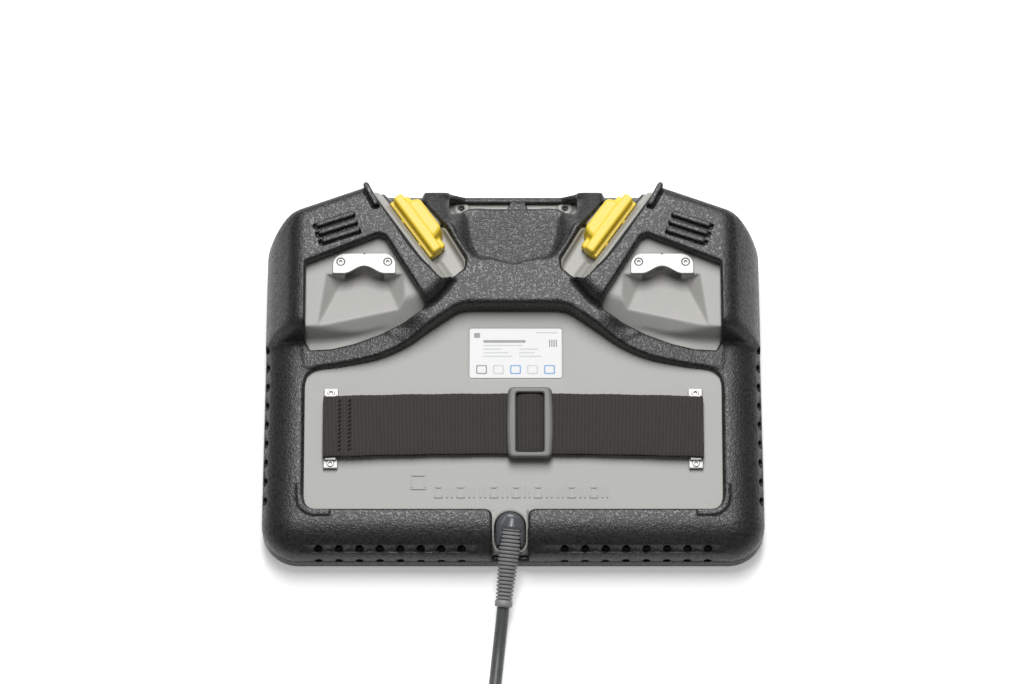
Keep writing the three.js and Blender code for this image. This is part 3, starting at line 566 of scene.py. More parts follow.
def rear_fields():
    """The rubber shell and the grey housing inside it, as fields over the same cells."""
    x, y, z = grid(LOW, HIGH, STEP)
    px, py = np.broadcast_arrays(x[..., 0], y[..., 0])
    ax = np.abs(px)

    def plan(points, half=True):
        return outline_distance(points, ax if half else px, py)[..., None]

    wide = np.abs(x)
    shell = plan(shell_outline(), False)
    # the frame rolls over from its side wall to its top
    run = np.clip((ROLL + shell) / ROLL, 0, None)
    rise = np.clip((z - 15.0) / (FRAME_Z - 15.0), 0, None)
    roll = (np.sqrt(run ** 2 + rise ** 2) - 1.0) * 17.0
    hill = np.where(z > 15.0, roll, shell)
    band_top = 36.5 - ramp(wide, 64, 124) * 5.2
    band = smax(plan(BAND_OUTLINE, False), z - band_top, 2.4)
    shelf_top = SHELF_Z - 5.0 * ease(wide, 46, 72) * ease(-y, -34, -22)
    shelf = smax(plan(SHELF_OUTLINE, False), z - shelf_top, 3.6)
    fall = 0.58 - 0.17 * ease(wide, 36, 40) * (1 - ease(wide, 52, 60))
    web = smax(plan(WEB_OUTLINE), (z - (SHELF_Z - (y - 88) * fall)) * 0.865, 2.5)
    grip = smax(plan(GRIP_OUTLINE), z - GRIP_Z, 9.0)
    grip = smax(grip, grip_end(y, z), 5.0)
    side = np.hypot(np.clip((wide - 128.0) / 22.0, 0, None), np.clip((z - 15.0) / 37.0, 0, None)) - 1.0
    grip = smax(grip, side * 24.0, 2.0)
    grip = smax(grip, ((wide - 134.0) * 1.4 + z - GRIP_Z) * 0.58, 8.0)
    raw = smin(smin(smin(hill, band, 1.5), shelf, 1.5), web, 1.5)
    raw = np.maximum(smin(raw, grip, 3.5), shell)

    # openings; a field below zero is the space taken away
    lean = np.where(y > -8, 0.14 * ramp(wide, 27, 103), 0.25)
    lean = lean + 0.3 * ease(wide, 112, 121) * ease(y, -86, -76) * (1 - ease(y, -14, -6))
    panel = plan(PANEL_OUTLINE, False) - (z - PANEL_Z) * lean
    hanger = plan(HANGER_OUTLINE)
    channel = plan(CHANNEL_OUTLINE)
    rim_window = plan(RIM_OUTLINE)
    cos_t, sin_t = math.cos(CHANNEL_TURN), math.sin(CHANNEL_TURN)
    along = (wide - CHANNEL_X) * cos_t + (y - CHANNEL_Y) * sin_t
    across = -(wide - CHANNEL_X) * sin_t + (y - CHANNEL_Y) * cos_t
    inner_side = ease(across, 8, 15) * ease(along, -1, 6)
    lean_in = inner_side * np.clip(z - CHANNEL_Z, 0, 12) * 0.3
    # the finger pocket's side walls lean in from its rim to a narrower floor
    rim_z = SHELF_Z - np.clip(y - 88, 0, 30) * 0.58
    pocket_floor = 35.5 - (y - 66) * 0.22
    inset = (1.5 + np.clip(y - 66, 0, 40) * 0.27) / np.clip(rim_z - pocket_floor, 8, 30)
    pocket = (plan(POCKET_OUTLINE, False) + np.clip(rim_z - z, -4, 20) * inset * ease(wide, 6, 22)) * 0.85
    slot = plan(SLOT_OUTLINE, False)
    rail = np.maximum(wide - 38.4, 110.4 - y)
    notch = np.maximum(np.abs(x - GLAND_X) - 10.7, y + 88.6)
    label_seat = outline_distance(round_rect(LABEL_X, LABEL_Y, 28.1, 16.2, 1.5), px, py)[..., None]

    # grey housing
    slope = 35 + ((wide - 122) * 0.324 + (y - 12) * 0.946) * 0.8
    ramp_z = 30 + (66 - y) * 0.28
    grey = raw + SKIN
    grey = carve(grey, np.maximum(panel - SKIN, PANEL_Z - z), 0.8)
    grey = carve(grey, np.maximum(hanger - SKIN, POCKET_Z - z), 0.8)
    grey = carve(grey, np.maximum(hanger - SKIN, (slope - z) * 0.78), 1.6)
    hook = np.maximum(facet(wide, y, z, (101.9, 58.2, 32.2), (0.692, 0.1, -0.715)),
                      facet(wide, y, z, (76.9, 56.0, 32.8), (-0.647, 0.034, -0.762)))
    hook = np.maximum(smax(hook, (ramp_z - z) * 0.96, 0.6), y - 56.0)
    slit = most(np.abs(wide - 89.5) - 11.6, np.abs(y - 62.2) - 7.2, (ramp_z - z) * 0.96)
    grey = carve(grey, np.minimum(hook, slit), 0.7)
    wedge = smax(along - 12.6, (z - (CHANNEL_Z + (6.4 - across) * 1.75)) * 0.5, 1.0)
    trench = smax(channel - 0.8 * inner_side - lean_in, CHANNEL_Z - z, 1.6)
    grey = carve(grey, smax(trench, -wedge, 1.0), 0.8)
    # the outer wall overhangs the space that the pressed switch slides into
    lip = np.maximum((z - np.minimum(47.2 - (across + 2.6) * 1.9, 50.4)) * 0.466, across - 0.6)
    lip = most(lip, 41.0 - z, np.abs(along - 35.0) - 32.0, raw + 0.5, -3.4 - 2.0 * ease(along, 4, 20) - across)
    grey = np.minimum(grey, lip)
    grey = carve(grey, most(np.abs(along - 37.35) - 24.2, -2.3 - across, across - 4.0, z - 41.0, CHANNEL_Z - z))
    grey = carve(grey, np.maximum(pocket - SKIN, (pocket_floor - SKIN - z) * 0.965))
    boss = np.hypot(wide - BOSS_X, y - BOSS_Y) - 4.6
    slot_space = smax(slot - 2.5, SLOT_Z - z, 1.0)
    grey = carve(grey, smax(slot_space, -np.maximum(boss, z - SLOT_Z - 1.2), 0.8), 0.6)
    grey = carve(grey, np.maximum(notch, 14.5 - z))
    grey = carve(grey, most(np.abs(x - GLAND_X) - 10.7, y + 112.0, 12.0 - z))
    # a grey tongue runs down around the gland
    tongue = np.where(y > -99.5, np.abs(x - GLAND_X) - 10.6, tombstone(x, y, 1.5))
    tongue = smax(tongue, z - 27.9 + 0.03 * np.clip(GLAND_Y - y, 0, 20) ** 2, 0.8)
    grey = np.minimum(grey, most(tongue, np.where(y > -104, 13.0, 20.5) - z, y + 87.5))
    grey = carve(grey, np.maximum(tombstone(x, y) - 0.5, 14.5 - z), 0.4)
    grey = carve(grey, np.maximum(np.hypot(wide - BOSS_X, y - BOSS_Y) - 1.9, 13 - z))
    grey = carve(grey, smax(label_seat, 27.5 - z, 0.3), 0.3)
    housing = most(grey, 12.8 - z, -np.maximum(grey + WALL, 10 - z))

    # rubber
    rubber = carve(raw, smin(smax(panel, 27 - z, 0.5), np.maximum(notch, SPLIT_Z + 1.5 - z), 5.0), 1.8)
    rubber = carve(rubber, smax(hanger, 26 - z, 0.5), 2.2)
    rubber = carve(rubber, np.maximum(np.minimum(rim_window, channel - lean_in - 1.6 * inner_side), 30 - z), 1.4)
    rubber = carve(rubber, smax(pocket, (pocket_floor - z) * 0.965, 1.8), 1.8)
    rubber = carve(rubber, np.maximum(slot, 14 - z), 1.2)
    rubber = carve(rubber, smax(rail, 20 + np.clip(wide - 29.6, 0, 9) * 0.8 - z, 0.8), 1.4)
    tab = smax(np.abs(x - 2.6) - 3.7 - (113 - y) * 0.49, np.abs(z - 18.6) - 0.9, 0.6)
    rubber = np.minimum(rubber, most(tab, y - 114, 101.5 - y))
    for bar, shallow_side, _ in rib_bars(wide, y):
        groove = most(bar - 1.3, -bar - 0.9, GRIP_Z - 2.2 - z)
        rubber = carve(rubber, smax(groove, shallow_side, 0.8))
    # a flat raised strip follows the panel's lower corners
    strip = most(plan(PANEL_OUTLINE, False) - 4.8, 109.0 - wide, y + 72.5, raw - 0.75, 0.2 - panel)
    rubber = np.minimum(rubber, strip)
    rubber = most(rubber, shell, SPLIT_Z - z, -np.maximum(grey - GAP, 5 - z))
    return rubber.astype(np.float32), housing.astype(np.float32)


def aimed(middle, direction):
    """Move to a place in millimetres, and turn the Z axis to a direction."""
    return Matrix.Translation(middle * MM) @ direction.to_track_quat("Z", "Y").to_matrix().to_4x4()


def add_rod(bm, middle, direction, r, length, segments):
    bmesh.ops.create_cone(bm, cap_ends=True, segments=segments, radius1=r * MM, radius2=r * MM,
                          depth=length * MM, matrix=aimed(middle, direction))


def cut_vents(obj, grow):
    bm = bmesh.new()
    for x, y, z, nx, ny, nz, r in vent_places():
        add_rod(bm, Vector((x, y, z)), Vector((nx, ny, nz)), r + grow, 18, 24)
    cutter = place("cutter", from_bmesh("cutter", bm))
    m = obj.modifiers.new("vents", "BOOLEAN")
    m.operation = "DIFFERENCE"
    m.solver = "MANIFOLD"
    m.object = cutter
    apply_modifiers(obj)
    bpy.data.objects.remove(cutter)
    while len(obj.data.materials) > 1:
        obj.data.materials.pop()
    obj.data.polygons.foreach_set("material_index", np.zeros(len(obj.data.polygons), np.int32))


def paint_recess_shade(obj):
    """The switch channels and the top slot get a slightly darker copy of the housing grey: painted shade in these
    recesses.
    """
    mesh = obj.data
    centre = np.empty(len(mesh.polygons) * 3)
    mesh.polygons.foreach_get("center", centre)
    x, y, z = centre[0::3] / MM, centre[1::3] / MM, centre[2::3] / MM
    shaded_recess = outline_distance(CHANNEL_OUTLINE, np.abs(x), y) < 4.6
    shaded_recess |= (np.abs(x) < 43) & (y > 96) & (y < 113.5) & (z < 31)
    mesh.polygons.foreach_set("material_index", (shaded_recess & (z > 13)).astype(np.int32))


rubber_field, housing_field = rear_fields()
for name, field, look, grow, slot_name, node_name in (
        ("rear_rubber_shell", rubber_field, RUBBER, 0.0, "rubber", "rear_bumper"),
        ("rear_housing_moulding", housing_field, GREY, 0.5, "grey_plastic", "rear_housing")):
    shell_piece = quad_piece(name, *field_mesh(field, LOW, STEP), look)
    thin_out(shell_piece, 0.3)
    cut_vents(shell_piece, grow)
    settle(shell_piece, "pendant", slot_name, node_name)
# second material: the darker grey copy, painted shade in the switch channels and the top slot
shell_piece.data.materials.append(RECESS_SHADE_GREY)
paint_recess_shade(shell_piece)
del rubber_field, housing_field, field


# ------------ small moulded pieces
def block(x, y, z, centre, half, r):
    """Distance to a box with rounded edges."""
    q = [np.abs(v - c) - (h - r) for v, c, h in zip((x, y, z), centre, half)]
    outside = np.sqrt(sum(np.maximum(v, 0) ** 2 for v in q))
    return outside + np.minimum(most(*q), 0) - r


def mirror_copy(obj, name):
    mesh = obj.data.copy()
    co = np.empty(len(mesh.vertices) * 3)
    mesh.vertices.foreach_get("co", co)
    co[0::3] *= -1
    mesh.vertices.foreach_set("co", co)
    mesh.flip_normals()
    mesh.update()
    return place(name, mesh)


def both_sides(obj, name, body, slot, node):
    """Settle a right-hand piece and its mirror image."""
    twin = mirror_copy(obj, name + "_left")
    obj.name = name + "_right"
    settle(obj, body.format("right"), slot, node + "_right")
    settle(twin, body.format("left"), slot, node + "_left")


def switch_moulding():
    """The yellow lever: a long flange, a wider foot and a raised block with sloping ends."""
    low, high, step = (12.5, -0.4, 33.6), (62.5, 18.6, 46.8), 0.4
    u, n, z = grid(low, high, step)
    flange = block(u, n, z, (38.6, 6.7, 40.0), (21.6, 3.1, 5.3), 1.5)
    foot = block(u, n, z, (38.1, 8.4, 37.6), (20.1, 4.8, 2.9), 1.5)
    slope = (np.abs(u - 39.6) - 15.4 + (z - 38) * 0.28 + np.clip(n - 12, 0, 9) * 0.45) * 0.88
    body = smax(block(u, n, z, (39.6, 12.6, 39.2), (30, 4.4, 5.6), 1.6), slope, 2.2)
    skirt = block(u, n, z, (38.6, 3.4, 37.6), (21.4, 2.4, 2.7), 0.6)
    d = smin(smin(smin(flange, foot, 1.6), body, 1.4), skirt, 0.8)
    verts, quads = field_mesh(d, low, step)
    verts[:, 0], verts[:, 1] = channel_point(verts[:, 0], verts[:, 1])
    obj = quad_piece("switch_lever", verts, quads, YELLOW)
    bm = bmesh.new()
    bm.from_mesh(obj.data)
    for u0 in (28, 46):
        a, b = Vector((*channel_point(u0, 4.5), 38)), Vector((*channel_point(u0, -4.2), 38))
        add_rod(bm, (a + b) / 2, b - a, 1.8, (b - a).length, 20)
    bm.to_mesh(obj.data)
    bm.free()
    obj.data.shade_smooth()
    return obj


both_sides(switch_moulding(), "switch_lever", "switch_{}", "yellow_plastic", "switch_button")

ribs = moulded("grip_ribs_right", rib_field, (77.5, 73.0, 44.0), (119.5, 115.0, 52.6), 0.3, RUBBER)
thin_out(ribs, 0.35)
for half in (ribs, mirror_copy(ribs, "grip_ribs_left")):
    settle(half, "pendant", "rubber")

PLATE_X, PLATE_Y0, PLATE_Y1, PLATE_Z0, PLATE_Z1 = 89.6, 56.2, 69.2, 42.3, 43.8
PLATE_SCREW_X, PLATE_SCREW_Y = 14.1, 63.6


def plate_field(x, y, z):
    dx = np.abs(x - PLATE_X)
    arch = PLATE_Y0 + 4.7 * (0.5 + 0.5 * np.cos(np.pi * np.clip(dx / 12.4, 0, 1)))
    corner = np.hypot(np.maximum(dx - 11.6, 0), np.maximum(y - PLATE_Y1 + 7.4, 0)) - 7.4
    nick = 0.55 - (dx + (PLATE_Y1 - y)) * 0.75
    plan = most(smax(dx - 19.0, arch - y, 1.0), y - PLATE_Y1, corner, nick)
    d = smax(plan, np.abs(z - (PLATE_Z0 + PLATE_Z1) / 2) - 0.75, 0.45)
    radius = np.hypot(dx - PLATE_SCREW_X, y - PLATE_SCREW_Y)
    seat = radius - np.clip(1.35 + (z - PLATE_Z1 + 0.9) * 1.6, 1.35, 2.75)
    return np.maximum(d, -seat)


both_sides(moulded("hanger_plate", plate_field, (70.0, 55.2, 41.8), (109.2, 70.0, 44.4), 0.2, STEEL),
           "hanger_steel_plate", "pendant", "stainless", "hanger_plate")


def screw_field(cx, cy, top, head, bottom, cone=0.0):
    """A screw seen from above: a domed head with a hexagonal recess, and its shank."""
    def field(x, y, z):
        dx, dy = x - cx, y - cy
        r = np.hypot(dx, dy)
        cap = smax(r - head + np.clip(top - 0.35 - z, 0, 9) * cone, z - top, 0.5)
        d = np.minimum(np.maximum(cap, top - 1.3 - z), most(r - 1.3, bottom - z, z - top + 0.6))
        six = most(np.abs(dx), np.abs(dx * 0.5 + dy * 0.866), np.abs(dx * 0.5 - dy * 0.866)) - 1.0
        return np.maximum(d, -np.maximum(six, top - 1.15 - z))
    return field


def screw(name, cx, cy, top, head, bottom, cone=0.0):
    low = (cx - head - 0.6, cy - head - 0.6, bottom - 0.6)
    high = (cx + head + 0.6, cy + head + 0.6, top + 0.6)
    return moulded(name, screw_field(cx, cy, top, head, bottom, cone), low, high, 0.16, SCREW)


for which, side in (("inner", -1), ("outer", 1)):
    one = screw("plate_screw", PLATE_X + side * PLATE_SCREW_X, PLATE_SCREW_Y, PLATE_Z1 - 0.1, 2.2, 39.0, 1.15)
    both_sides(one, "plate_screw_" + which, "pendant", "screw_steel", "hanger_screw_" + which)

STRAP_Y, STRAP_HALF, BAR_X, BAR_SCREW = -37.6, 19.0, 109.0, 22.2


def clamp_field(x, y, z):
    dy = np.abs(y - STRAP_Y)
    tab = block(x, dy, z, (BAR_X, 22.0, 29.3), (4.3, 3.2, 1.0), 0.35)
    riser = block(x, dy, z, (BAR_X, 19.9, 30.2), (3.4, 0.8, 1.7), 0.4)
    bar = block(x, dy, z, (BAR_X, 0.0, 30.95), (3.4, 20.4, 0.95), 0.5)
    return np.maximum(smin(np.minimum(tab, riser), bar, 0.5), 1.5 - np.hypot(x - BAR_X, dy - BAR_SCREW))


both_sides(moulded("clamp", clamp_field, (104.0, -63.6, 27.7), (114.0, -11.6, 32.7), 0.3, STEEL),
           "strap_clamp_plate", "pendant", "stainless", "strap_clamp")
for which, side in (("upper", 1), ("lower", -1)):
    one = screw("clamp_screw", BAR_X, STRAP_Y + side * BAR_SCREW, 30.9, 2.2, 27.0)
    both_sides(one, "clamp_screw_" + which, "pendant", "screw_steel", "strap_screw_" + which)
both_sides(screw("slot_screw", BOSS_X, BOSS_Y, 14.6, 1.7, 12.6),
           "slot_screw", "pendant", "screw_steel", "slot_screw")


# ------------ strap and buckle
def strap_top(x):
    """Height of the webbing's upper face along the strap."""
    return 32.65 + 1.45 * min(abs(x) / 108.0, 1.0) ** 2


def strap_bow(x):
    """The slack webbing lies a little towards the switches at its middle."""
    return 2.3 * max(0.0, 1 - (x / 112.0) ** 2)


def ribbon(name, stations, half, thick, waviness=0.25, phase=0.0):
    """A flat band along stations (x, z of its upper face), with a rounded, slightly uneven edge."""
    verts, faces = [], []
    across = [-1, -0.985, -0.94, -0.8, -0.5, 0, 0.5, 0.8, 0.94, 0.985, 1]
    count = 2 * len(across)
    for i, (x, z) in enumerate(stations):
        before, after = stations[max(i - 1, 0)], stations[min(i + 1, len(stations) - 1)]
        tangent = Vector((after[0] - before[0], 0, after[1] - before[1])).normalized()
        normal = Vector((-tangent.z, 0, tangent.x))
        wide = half + waviness * math.sin(i * 1.9 + phase) * 0.35 + waviness * 0.5 * math.sin(i * 0.31 + phase)
        loop = []
        for side, row in ((1, across), (-1, across[::-1])):
            for a in row:
                edge = 1 - max(0.0, (abs(a) - 0.9) / 0.1) ** 2 * 0.55
                lift = 0.5 * thick * side * edge
                loop.append(len(verts))
                verts.append(Vector((x, STRAP_Y + strap_bow(x) + a * wide, z)) + normal * (lift - 0.5 * thick))
        if i:
            faces += [(loop[k] - count, loop[(k + 1) % count] - count, loop[(k + 1) % count], loop[k])
                      for k in range(count)]
    faces.append(tuple(range(count - 1, -1, -1)))
    faces.append(tuple(range(len(verts) - count, len(verts))))
    return piece(name, from_faces(name, [v * MM for v in verts], faces), WEBBING)


def strap_line(end):
    """Upper face from the turn around one clamp bar to the other."""
    flat = [(x, strap_top(x)) for x in np.linspace(-end, end, 150)]
    right_turn = [(end + 1.9 * math.sin(a), 32.2 + 1.9 * math.cos(a)) for a in np.linspace(0.2, 1.4, 6)]
    right_turn += [(end + 1.9, 30.6)]
    right_turn += [(end + 1.9 * math.cos(a), 30.4 - 1.9 * math.sin(a)) for a in np.linspace(0.3, 1.5, 5)]
    right_turn += [(end - 5, 28.5)]
    return [(-x, z) for x, z in reversed(right_turn)] + flat + right_turn


settle(ribbon("hand_strap_webbing", strap_line(111.8), STRAP_HALF, 1.15), "pendant", "webbing", "strap")
lower = [(x, strap_top(x) - 1.2) for x in np.linspace(-97, 99, 120)]
settle(ribbon("hand_strap_second_layer", lower, STRAP_HALF + 0.15, 1.0, phase=1.3), "pendant", "webbing")


def stitches():
    """Two columns of zig-zag thread where the webbing is sewn back on itself."""
    bm = bmesh.new()
    for column in (-103.6, -97.6):
        for i in range(13):
            y = STRAP_Y + strap_bow(column) - 15.4 + 2.55 * i
            a = Vector((column - 0.55, y, strap_top(column) + 0.12))
            b = Vector((column + 0.55, y + 0.95, strap_top(column) + 0.12))
            stretch = Matrix.Diagonal((1, 1, (b - a).length / 0.7, 1))
            bmesh.ops.create_icosphere(bm, subdivisions=2, radius=0.6 * MM,
                                       matrix=aimed((a + b) / 2, b - a) @ stretch)
    return piece("strap_stitching", from_bmesh("strap_stitching", bm), THREAD)


THREAD = grained("thread", (0.002, 0.002, 0.002), (0.006, 0.0055, 0.005), 0.8, 2600.0, 0.0001, 0.6)
settle(stitches(), "pendant", "webbing")

BUCKLE_X, BUCKLE_Y = 10.0, STRAP_Y + 2.2


def buckle_field(x, y, z):
    dx, dy = np.abs(x - BUCKLE_X), np.abs(y - BUCKLE_Y)
    barrel = 0.9 * (1 - (dy / 22.0) ** 2)
    outer = smax(dx - 13.0 - barrel, dy - 22.1, 3.6)
    inner = smax(dx - 8.3, dy - 18.7, 1.8)
    crown = 35.9 - 0.10 * np.maximum(dx - 10.4 - barrel, 0) ** 1.6 - 0.07 * np.maximum(dy - 20.2, 0) ** 1.6
    ring = smax(smax(outer, -inner, 0.5), np.maximum(z - crown, 33.0 - z), 0.9)
    end = np.maximum(block(x, dy, z, (BUCKLE_X, 20.9, 31.4), (10.6, 0.9, 3.4), 0.7), 19.9 - dy)
    bar = block(x, y, z, (BUCKLE_X, BUCKLE_Y, 29.1), (3.5, 21.4, 0.95), 0.8)
    return smin(smin(ring, end, 1.0), bar, 0.6)


buckle = moulded("strap_slider", buckle_field, (BUCKLE_X - 15.4, BUCKLE_Y - 23.6, 27.6),
                 (BUCKLE_X + 15.4, BUCKLE_Y + 23.6, 36.9), 0.32, BUCKLE)
settle(buckle, "strap_buckle", "buckle_plastic", "buckle")
bulge = [(x, strap_top(x) - 0.9 + 2.9 * max(0.0, math.cos(math.pi * (x - BUCKLE_X) / 17.6)) ** 0.5)
         for x in np.linspace(BUCKLE_X - 8.1, BUCKLE_X + 8.1, 31)]
settle(ribbon("slider_webbing", bulge, 18.2, 1.0, waviness=0.05), "strap_buckle", "webbing")


# ------------ gland, boot and plug
def gland_field(x, y, z):
    plan = tombstone(x, y, -0.25)
    fall = np.clip(GLAND_Y - y, 0, 20)
    d = smax(plan, z - (31.2 - 0.026 * fall ** 2 - 0.012 * (x - GLAND_X) ** 2), 4.0)
    d = np.maximum(d, np.where(y > -104, 14.9, 19.0) - z)
    start, axis = (-1.3, -101.8, 25.8), Vector((-4.4, -39.7, -14.0)).normalized()
    t = facet(x, y, z, start, axis)
    r = np.sqrt(np.maximum(sum((v - a) ** 2 for v, a in zip((x, y, z), start)) - t * t, 0))
    neck = np.maximum(r - 3.6 - 0.62 * np.clip(t + 9.0, 0, 5), np.abs(t + 5.6) - 3.4)
    d = smin(d, neck, 1.2)
    bore = np.maximum(r - 7.0, -2.25 - t)
    return most(d, -bore, 14.9 - z)


gland = moulded("gland_dome", gland_field, (-12.4, -113.6, 14.2), (8.8, -88.4, 34.5), 0.35, GLAND)
settle(gland, "pendant", "gland_plastic", "cable_gland")


def turned_piece(name, profile, start, end, material, segments=40, knurl=None):
    """A solid turned about the line from start to end; profile is (distance along, radius)."""
    start, end = Vector(start), Vector(end)
    turn = (end - start).to_track_quat("Z", "Y").to_matrix()
    verts, faces = [], []
    for s, r in profile:
        for k in range(segments):
            a = 2 * math.pi * k / segments
            here = r
            if knurl and knurl[0] < s < knurl[1]:
                here -= knurl[2] * (0.5 + 0.5 * math.cos(a * knurl[3]))
            verts.append((start + turn @ Vector((here * math.cos(a), here * math.sin(a), s))) * MM)
    for i in range(len(profile) - 1):
        for k in range(segments):
            j = (k + 1) % segments
            faces.append((i * segments + k, i * segments + j, (i + 1) * segments + j, (i + 1) * segments + k))
    faces.append(tuple(range(segments - 1, -1, -1)))
    last = (len(profile) - 1) * segments
    faces.append(tuple(range(last, last + segments)))
    return piece(name, from_faces(name, verts, faces), material)


def boot_profile():
    rows = [(-4.15, 3.0), (-4.1, 6.3)]
    s, last, pitch = -4.0, 38.0, 2.27
    while s < last:
        base = 6.8 - max(s, 0.0) * 0.05
        phase = ((s + 4.0) / pitch + 0.5) % 1.0
        crest = ease(min(phase - 0.06, 1.0 - phase) * 4.2, 0, 1)
        rows.append((s, base - 1.2 * (1 - crest)))
        s += pitch / 12
    return rows + [(38.1, 4.6), (38.3, 4.7), (38.5, 5.2), (41.6, 5.25), (42.1, 5.05), (42.3, 4.6), (42.3, 3.9),
                   (41.0, 3.8)]


boot = turned_piece("strain_boot", boot_profile(), (-1.5, -103.5, 25.2), EXIT, BOOT, 32)
settle(boot, "pendant", "boot_rubber", "cable_boot")

plug_x = COIL_AT[0] - TAIL_LEVEL - TAIL_DROP - 0.3
plug_y = COIL_AT[1] + COLUMNS[0]
plug_rows = [(0, 4.2), (0.2, 5.4), (1.2, 6.0), (4, 6.1), (4.6, 6.9), (11.5, 8.4), (12.6, 9.0), (13, 9.2),
             (18.6, 9.2), (19.2, 9.6), (19.8, 10.4), (20.6, 11.0), (21.4, 11.0), (31.6, 11.0), (32.4, 11.0),
             (33.0, 10.4), (33.4, 9.4), (34, 9.2), (41.4, 9.2), (41.8, 8.8), (42, 8.0), (49.5, 8.0), (50, 7.6),
             (50, 6.6), (45, 6.4)]
plug = turned_piece("cable_connector_shell", plug_rows, (plug_x, plug_y, PLUG_Z), (plug_x - 50, plug_y, PLUG_Z),
                    PLUG, 96, (20.0, 33.2, 0.55, 24))
settle(plug, "pendant", "plug_shell", "cable_plug")


def tie_field(x, y, z):
    middle = (COIL_AT[0], COIL_AT[1] - 45.0, 16.1)
    return np.maximum(block(x, y, z, middle, (6.0, 16.1, 16.2), 2.6),
                      -block(x, y, z, middle, (9.0, 15.1, 15.2), 2.0))


tie = moulded("coil_tie_band", tie_field, (4.4, -337.2, -0.9), (19.6, -300.8, 33.6), 0.5, WEBBING)
settle(tie, "pendant", "webbing", "coil_tie")

cord.data.materials.append(JACKET)


# ------------ label and embossing
def raised_shapes(name, shapes, slot, *nodes):
    """Flat shapes standing a little above the panel: (outline, z0, z1, material)."""
    bm = bmesh.new()
    looks = list(dict.fromkeys(shape[3] for shape in shapes))
    for points, z0, z1, look in shapes:
        edge = min(0.12, (z1 - z0) * 0.6)
        cx = sum(p[0] for p in points) / len(points)
        cy = sum(p[1] for p in points) / len(points)
        rings = []
        for z, inset in ((z0, 0.0), (z1 - edge * 0.6, 0.0), (z1, edge)):
            ring = []
            for px, py in points:
                pull = Vector((cx - px, cy - py))
                pull = pull.normalized() * inset if pull.length else pull
                ring.append(bm.verts.new(((px + pull.x) * MM, (py + pull.y) * MM, z * MM)))
            rings.append(ring)
        for a, b in zip(rings, rings[1:]):
            for k in range(len(points)):
                j = (k + 1) % len(points)
                bm.faces.new((a[k], a[j], b[j], b[k])).material_index = looks.index(look)
        bm.faces.new(rings[-1]).material_index = looks.index(look)
        bm.faces.new(rings[0][::-1]).material_index = looks.index(look)
    settle(piece(name, from_bmesh(name, bm), *looks, smooth=False), "pendant", slot, *nodes)


PAPER = grained("label_stock", (0.59, 0.592, 0.59), (0.63, 0.632, 0.63), 0.35, 1500.0, 0.00001, 0.15)
INK = grained("label_grey_ink", (0.16, 0.17, 0.18), (0.22, 0.23, 0.24), 0.4, 1500.0, 0.00001, 0.15)
PALE_INK = grained("label_pale_ink", (0.42, 0.44, 0.46), (0.5, 0.52, 0.54), 0.4, 1500.0, 0.00001, 0.15)
BLUE_INK = grained("label_blue_ink", (0.09, 0.24, 0.5), (0.12, 0.3, 0.58), 0.4, 1500.0, 0.00001, 0.15)


def bar_shape(x0, x1, y, height, look, r=None):
    r = height * 0.3 if r is None else r
    return round_rect((x0 + x1) / 2, y, (x1 - x0) / 2, height / 2, r, 2), 28.03, 28.09, look


def label_shapes():
    x0, y0 = LABEL_X, LABEL_Y
    shapes = [(round_rect(x0, y0, 27.7, 15.8, 1.2, 4), 27.75, 28.04, PAPER)]
    shapes.append(bar_shape(x0 - 19.5, x0 + 6, y0 + 7.6, 1.7, INK))
    shapes.append(bar_shape(x0 - 25, x0 - 21.4, y0 + 11.4, 3.2, INK, 0.6))
    shapes.append(bar_shape(x0 + 12, x0 + 25.5, y0 + 13.2, 0.8, PALE_INK))
    for i, end in enumerate((4.0, -8.5, -4.5, -2.0)):
        shapes.append(bar_shape(x0 - 19.5, x0 + end, y0 + 5.0 - 2.3 * i, 0.75, PALE_INK))
        if i:
            shapes.append(bar_shape(x0 + 2.0, x0 + 9.5 + 3.0 * (i % 2) + i, y0 + 5.0 - 2.3 * i, 0.75, PALE_INK))
    for i in range(4):
        shapes.append(bar_shape(x0 + 20.0 + 1.35 * i, x0 + 20.8 + 1.35 * i, y0 + 6.4, 4.6, INK, 0.1))
    for i, look in enumerate((INK, PALE_INK, BLUE_INK, PALE_INK, BLUE_INK)):
        cx = x0 - 20.5 + 10.2 * i
        shapes.append((round_rect(cx, y0 - 10.4, 3.3, 2.9, 0.9, 3), 28.03, 28.09, look))
        shapes.append((round_rect(cx, y0 - 10.4, 2.5, 2.1, 0.6, 3), 28.08, 28.12, PAPER))
    return shapes


raised_shapes("rating_label", label_shapes(), "label_stock", "label")


def bars(x, y, hx, hy, r, dx, dy):
    """A pair of raised bars on opposite sides of a place."""
    return [(round_rect(x + s * dx, y + s * dy, hx, hy, r, 2), 27.9, 28.45, GREY) for s in (-1, 1)]


emboss = bars(-56.5, -70.6, 4.6, 0.6, 0.4, 0, 4.2) + bars(-56.5, -70.6, 0.6, 4.0, 0.4, 4.0, 0)
for i, kind in enumerate("olollololollolol"):
    cx = -44.5 + 6.6 * i
    if kind == "o":
        emboss += bars(cx, -77, 2.6, 0.55, 0.4, 0, 3.1) + bars(cx, -77, 0.55, 2.9, 0.4, 2.1, 0)
    else:
        emboss += bars(cx, -77, 0.6, 3.6, 0.5, 1.4, 0)
raised_shapes("panel_emboss", emboss, "grey_plastic")


# ------------ front rubber rim
def front_rim_field(x, y, z):
    px, py = np.broadcast_arrays(x[..., 0], y[..., 0])
    shell = outline_distance(shell_outline(), px, py)[..., None]
    d = carve(np.maximum(smax(shell, -z, 4.2), z - 11.7), shell + 9.0, 1.2)
    d = carve(d, np.maximum(shell + 2.45, 2.7 - z))
    usb = most(x + 140.0, np.abs(y + 40.0) - 10.0, np.abs(z - 6.9) - 3.7)
    return carve(d, usb, 0.6)


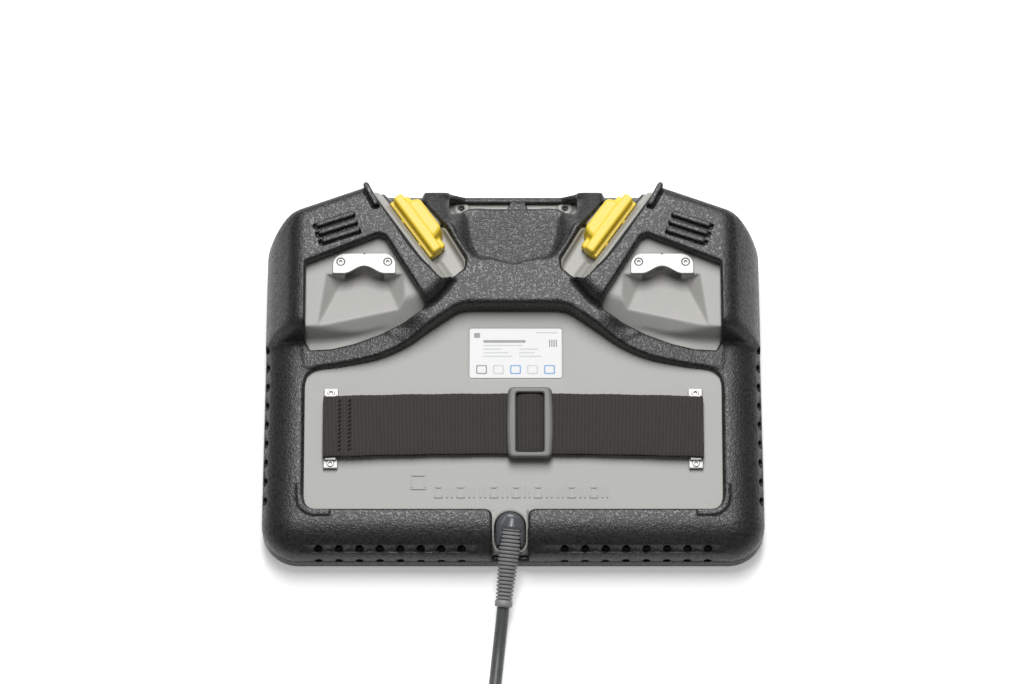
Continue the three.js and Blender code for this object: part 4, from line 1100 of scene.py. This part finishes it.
rim = moulded("front_rubber_rim", front_rim_field, (-151.2, -117.6, -0.9), (151.2, 117.6, 12.6), 0.75, RUBBER)
thin_out(rim, 0.3)
settle(rim, "pendant", "rubber", "front_bumper")


# ------------ looks of the carried-over parts
NODE_LOOKS = {
    BLACK: ("front_frame", "switch_module_right", "switch_module_left", "stop_collar", "stop_block",
            "power_module", "usb_port", "usb_cover", "cable_clamp", "display_module", "board_connector",
            "inner_lead"),
    SEAL: ("housing_gasket",),
    DARK_GLASS: ("touch_glass",),
    ALU: ("chassis_plate", "heat_sink"),
    BOARD: ("main_board",),
    RED: ("stop_head",),
    PLUG: ("stop_stem", "power_button"),
}
for look, names in NODE_LOOKS.items():
    for name in names:
        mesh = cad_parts[name].data
        mesh.materials.clear()
        mesh.materials.append(look)


# ------------ studio
def sweep(look):
    """A pale floor with a gentle rise behind it."""
    bm = bmesh.new()
    rows = []
    for i in range(25):
        y = -3.0 + 9.0 * i / 24
        z = 0.0 if y < 3.2 else 2.2 * ((y - 3.2) / 2.8) ** 2
        rows.append([bm.verts.new((-4.5 + 9.0 * k / 12, y, z - 0.0004)) for k in range(13)])
    for a, b in zip(rows, rows[1:]):
        for k in range(12):
            bm.faces.new((a[k], a[k + 1], b[k + 1], b[k]))
    piece("floor", from_bmesh("floor", bm), look)


sweep(grained("studio_floor", (0.93, 0.93, 0.93), (0.97, 0.97, 0.97), 0.7, 60.0, 0.00002, 0.05,
              Emission_Color=(1, 1, 1, 1), Emission_Strength=0.32))
world = bpy.data.worlds.new("studio")
bpy.context.scene.world = world
world.use_nodes = True
sky = world.node_tree.nodes["Background"].inputs
sky["Color"].default_value = (1, 1, 1, 1)
sky["Strength"].default_value = 0.2
lamp = bpy.data.lights.new("overhead", "AREA")
lamp.shape = "RECTANGLE"
lamp.size, lamp.size_y = 0.9, 2.0
lamp.energy = 66.0
overhead = place("overhead", lamp)
overhead.location = (0.0, 1.1, 2.15)
overhead.rotation_euler = (-overhead.location).to_track_quat("-Z", "Y").to_euler()
bpy.context.scene.view_settings.view_transform = "Standard"
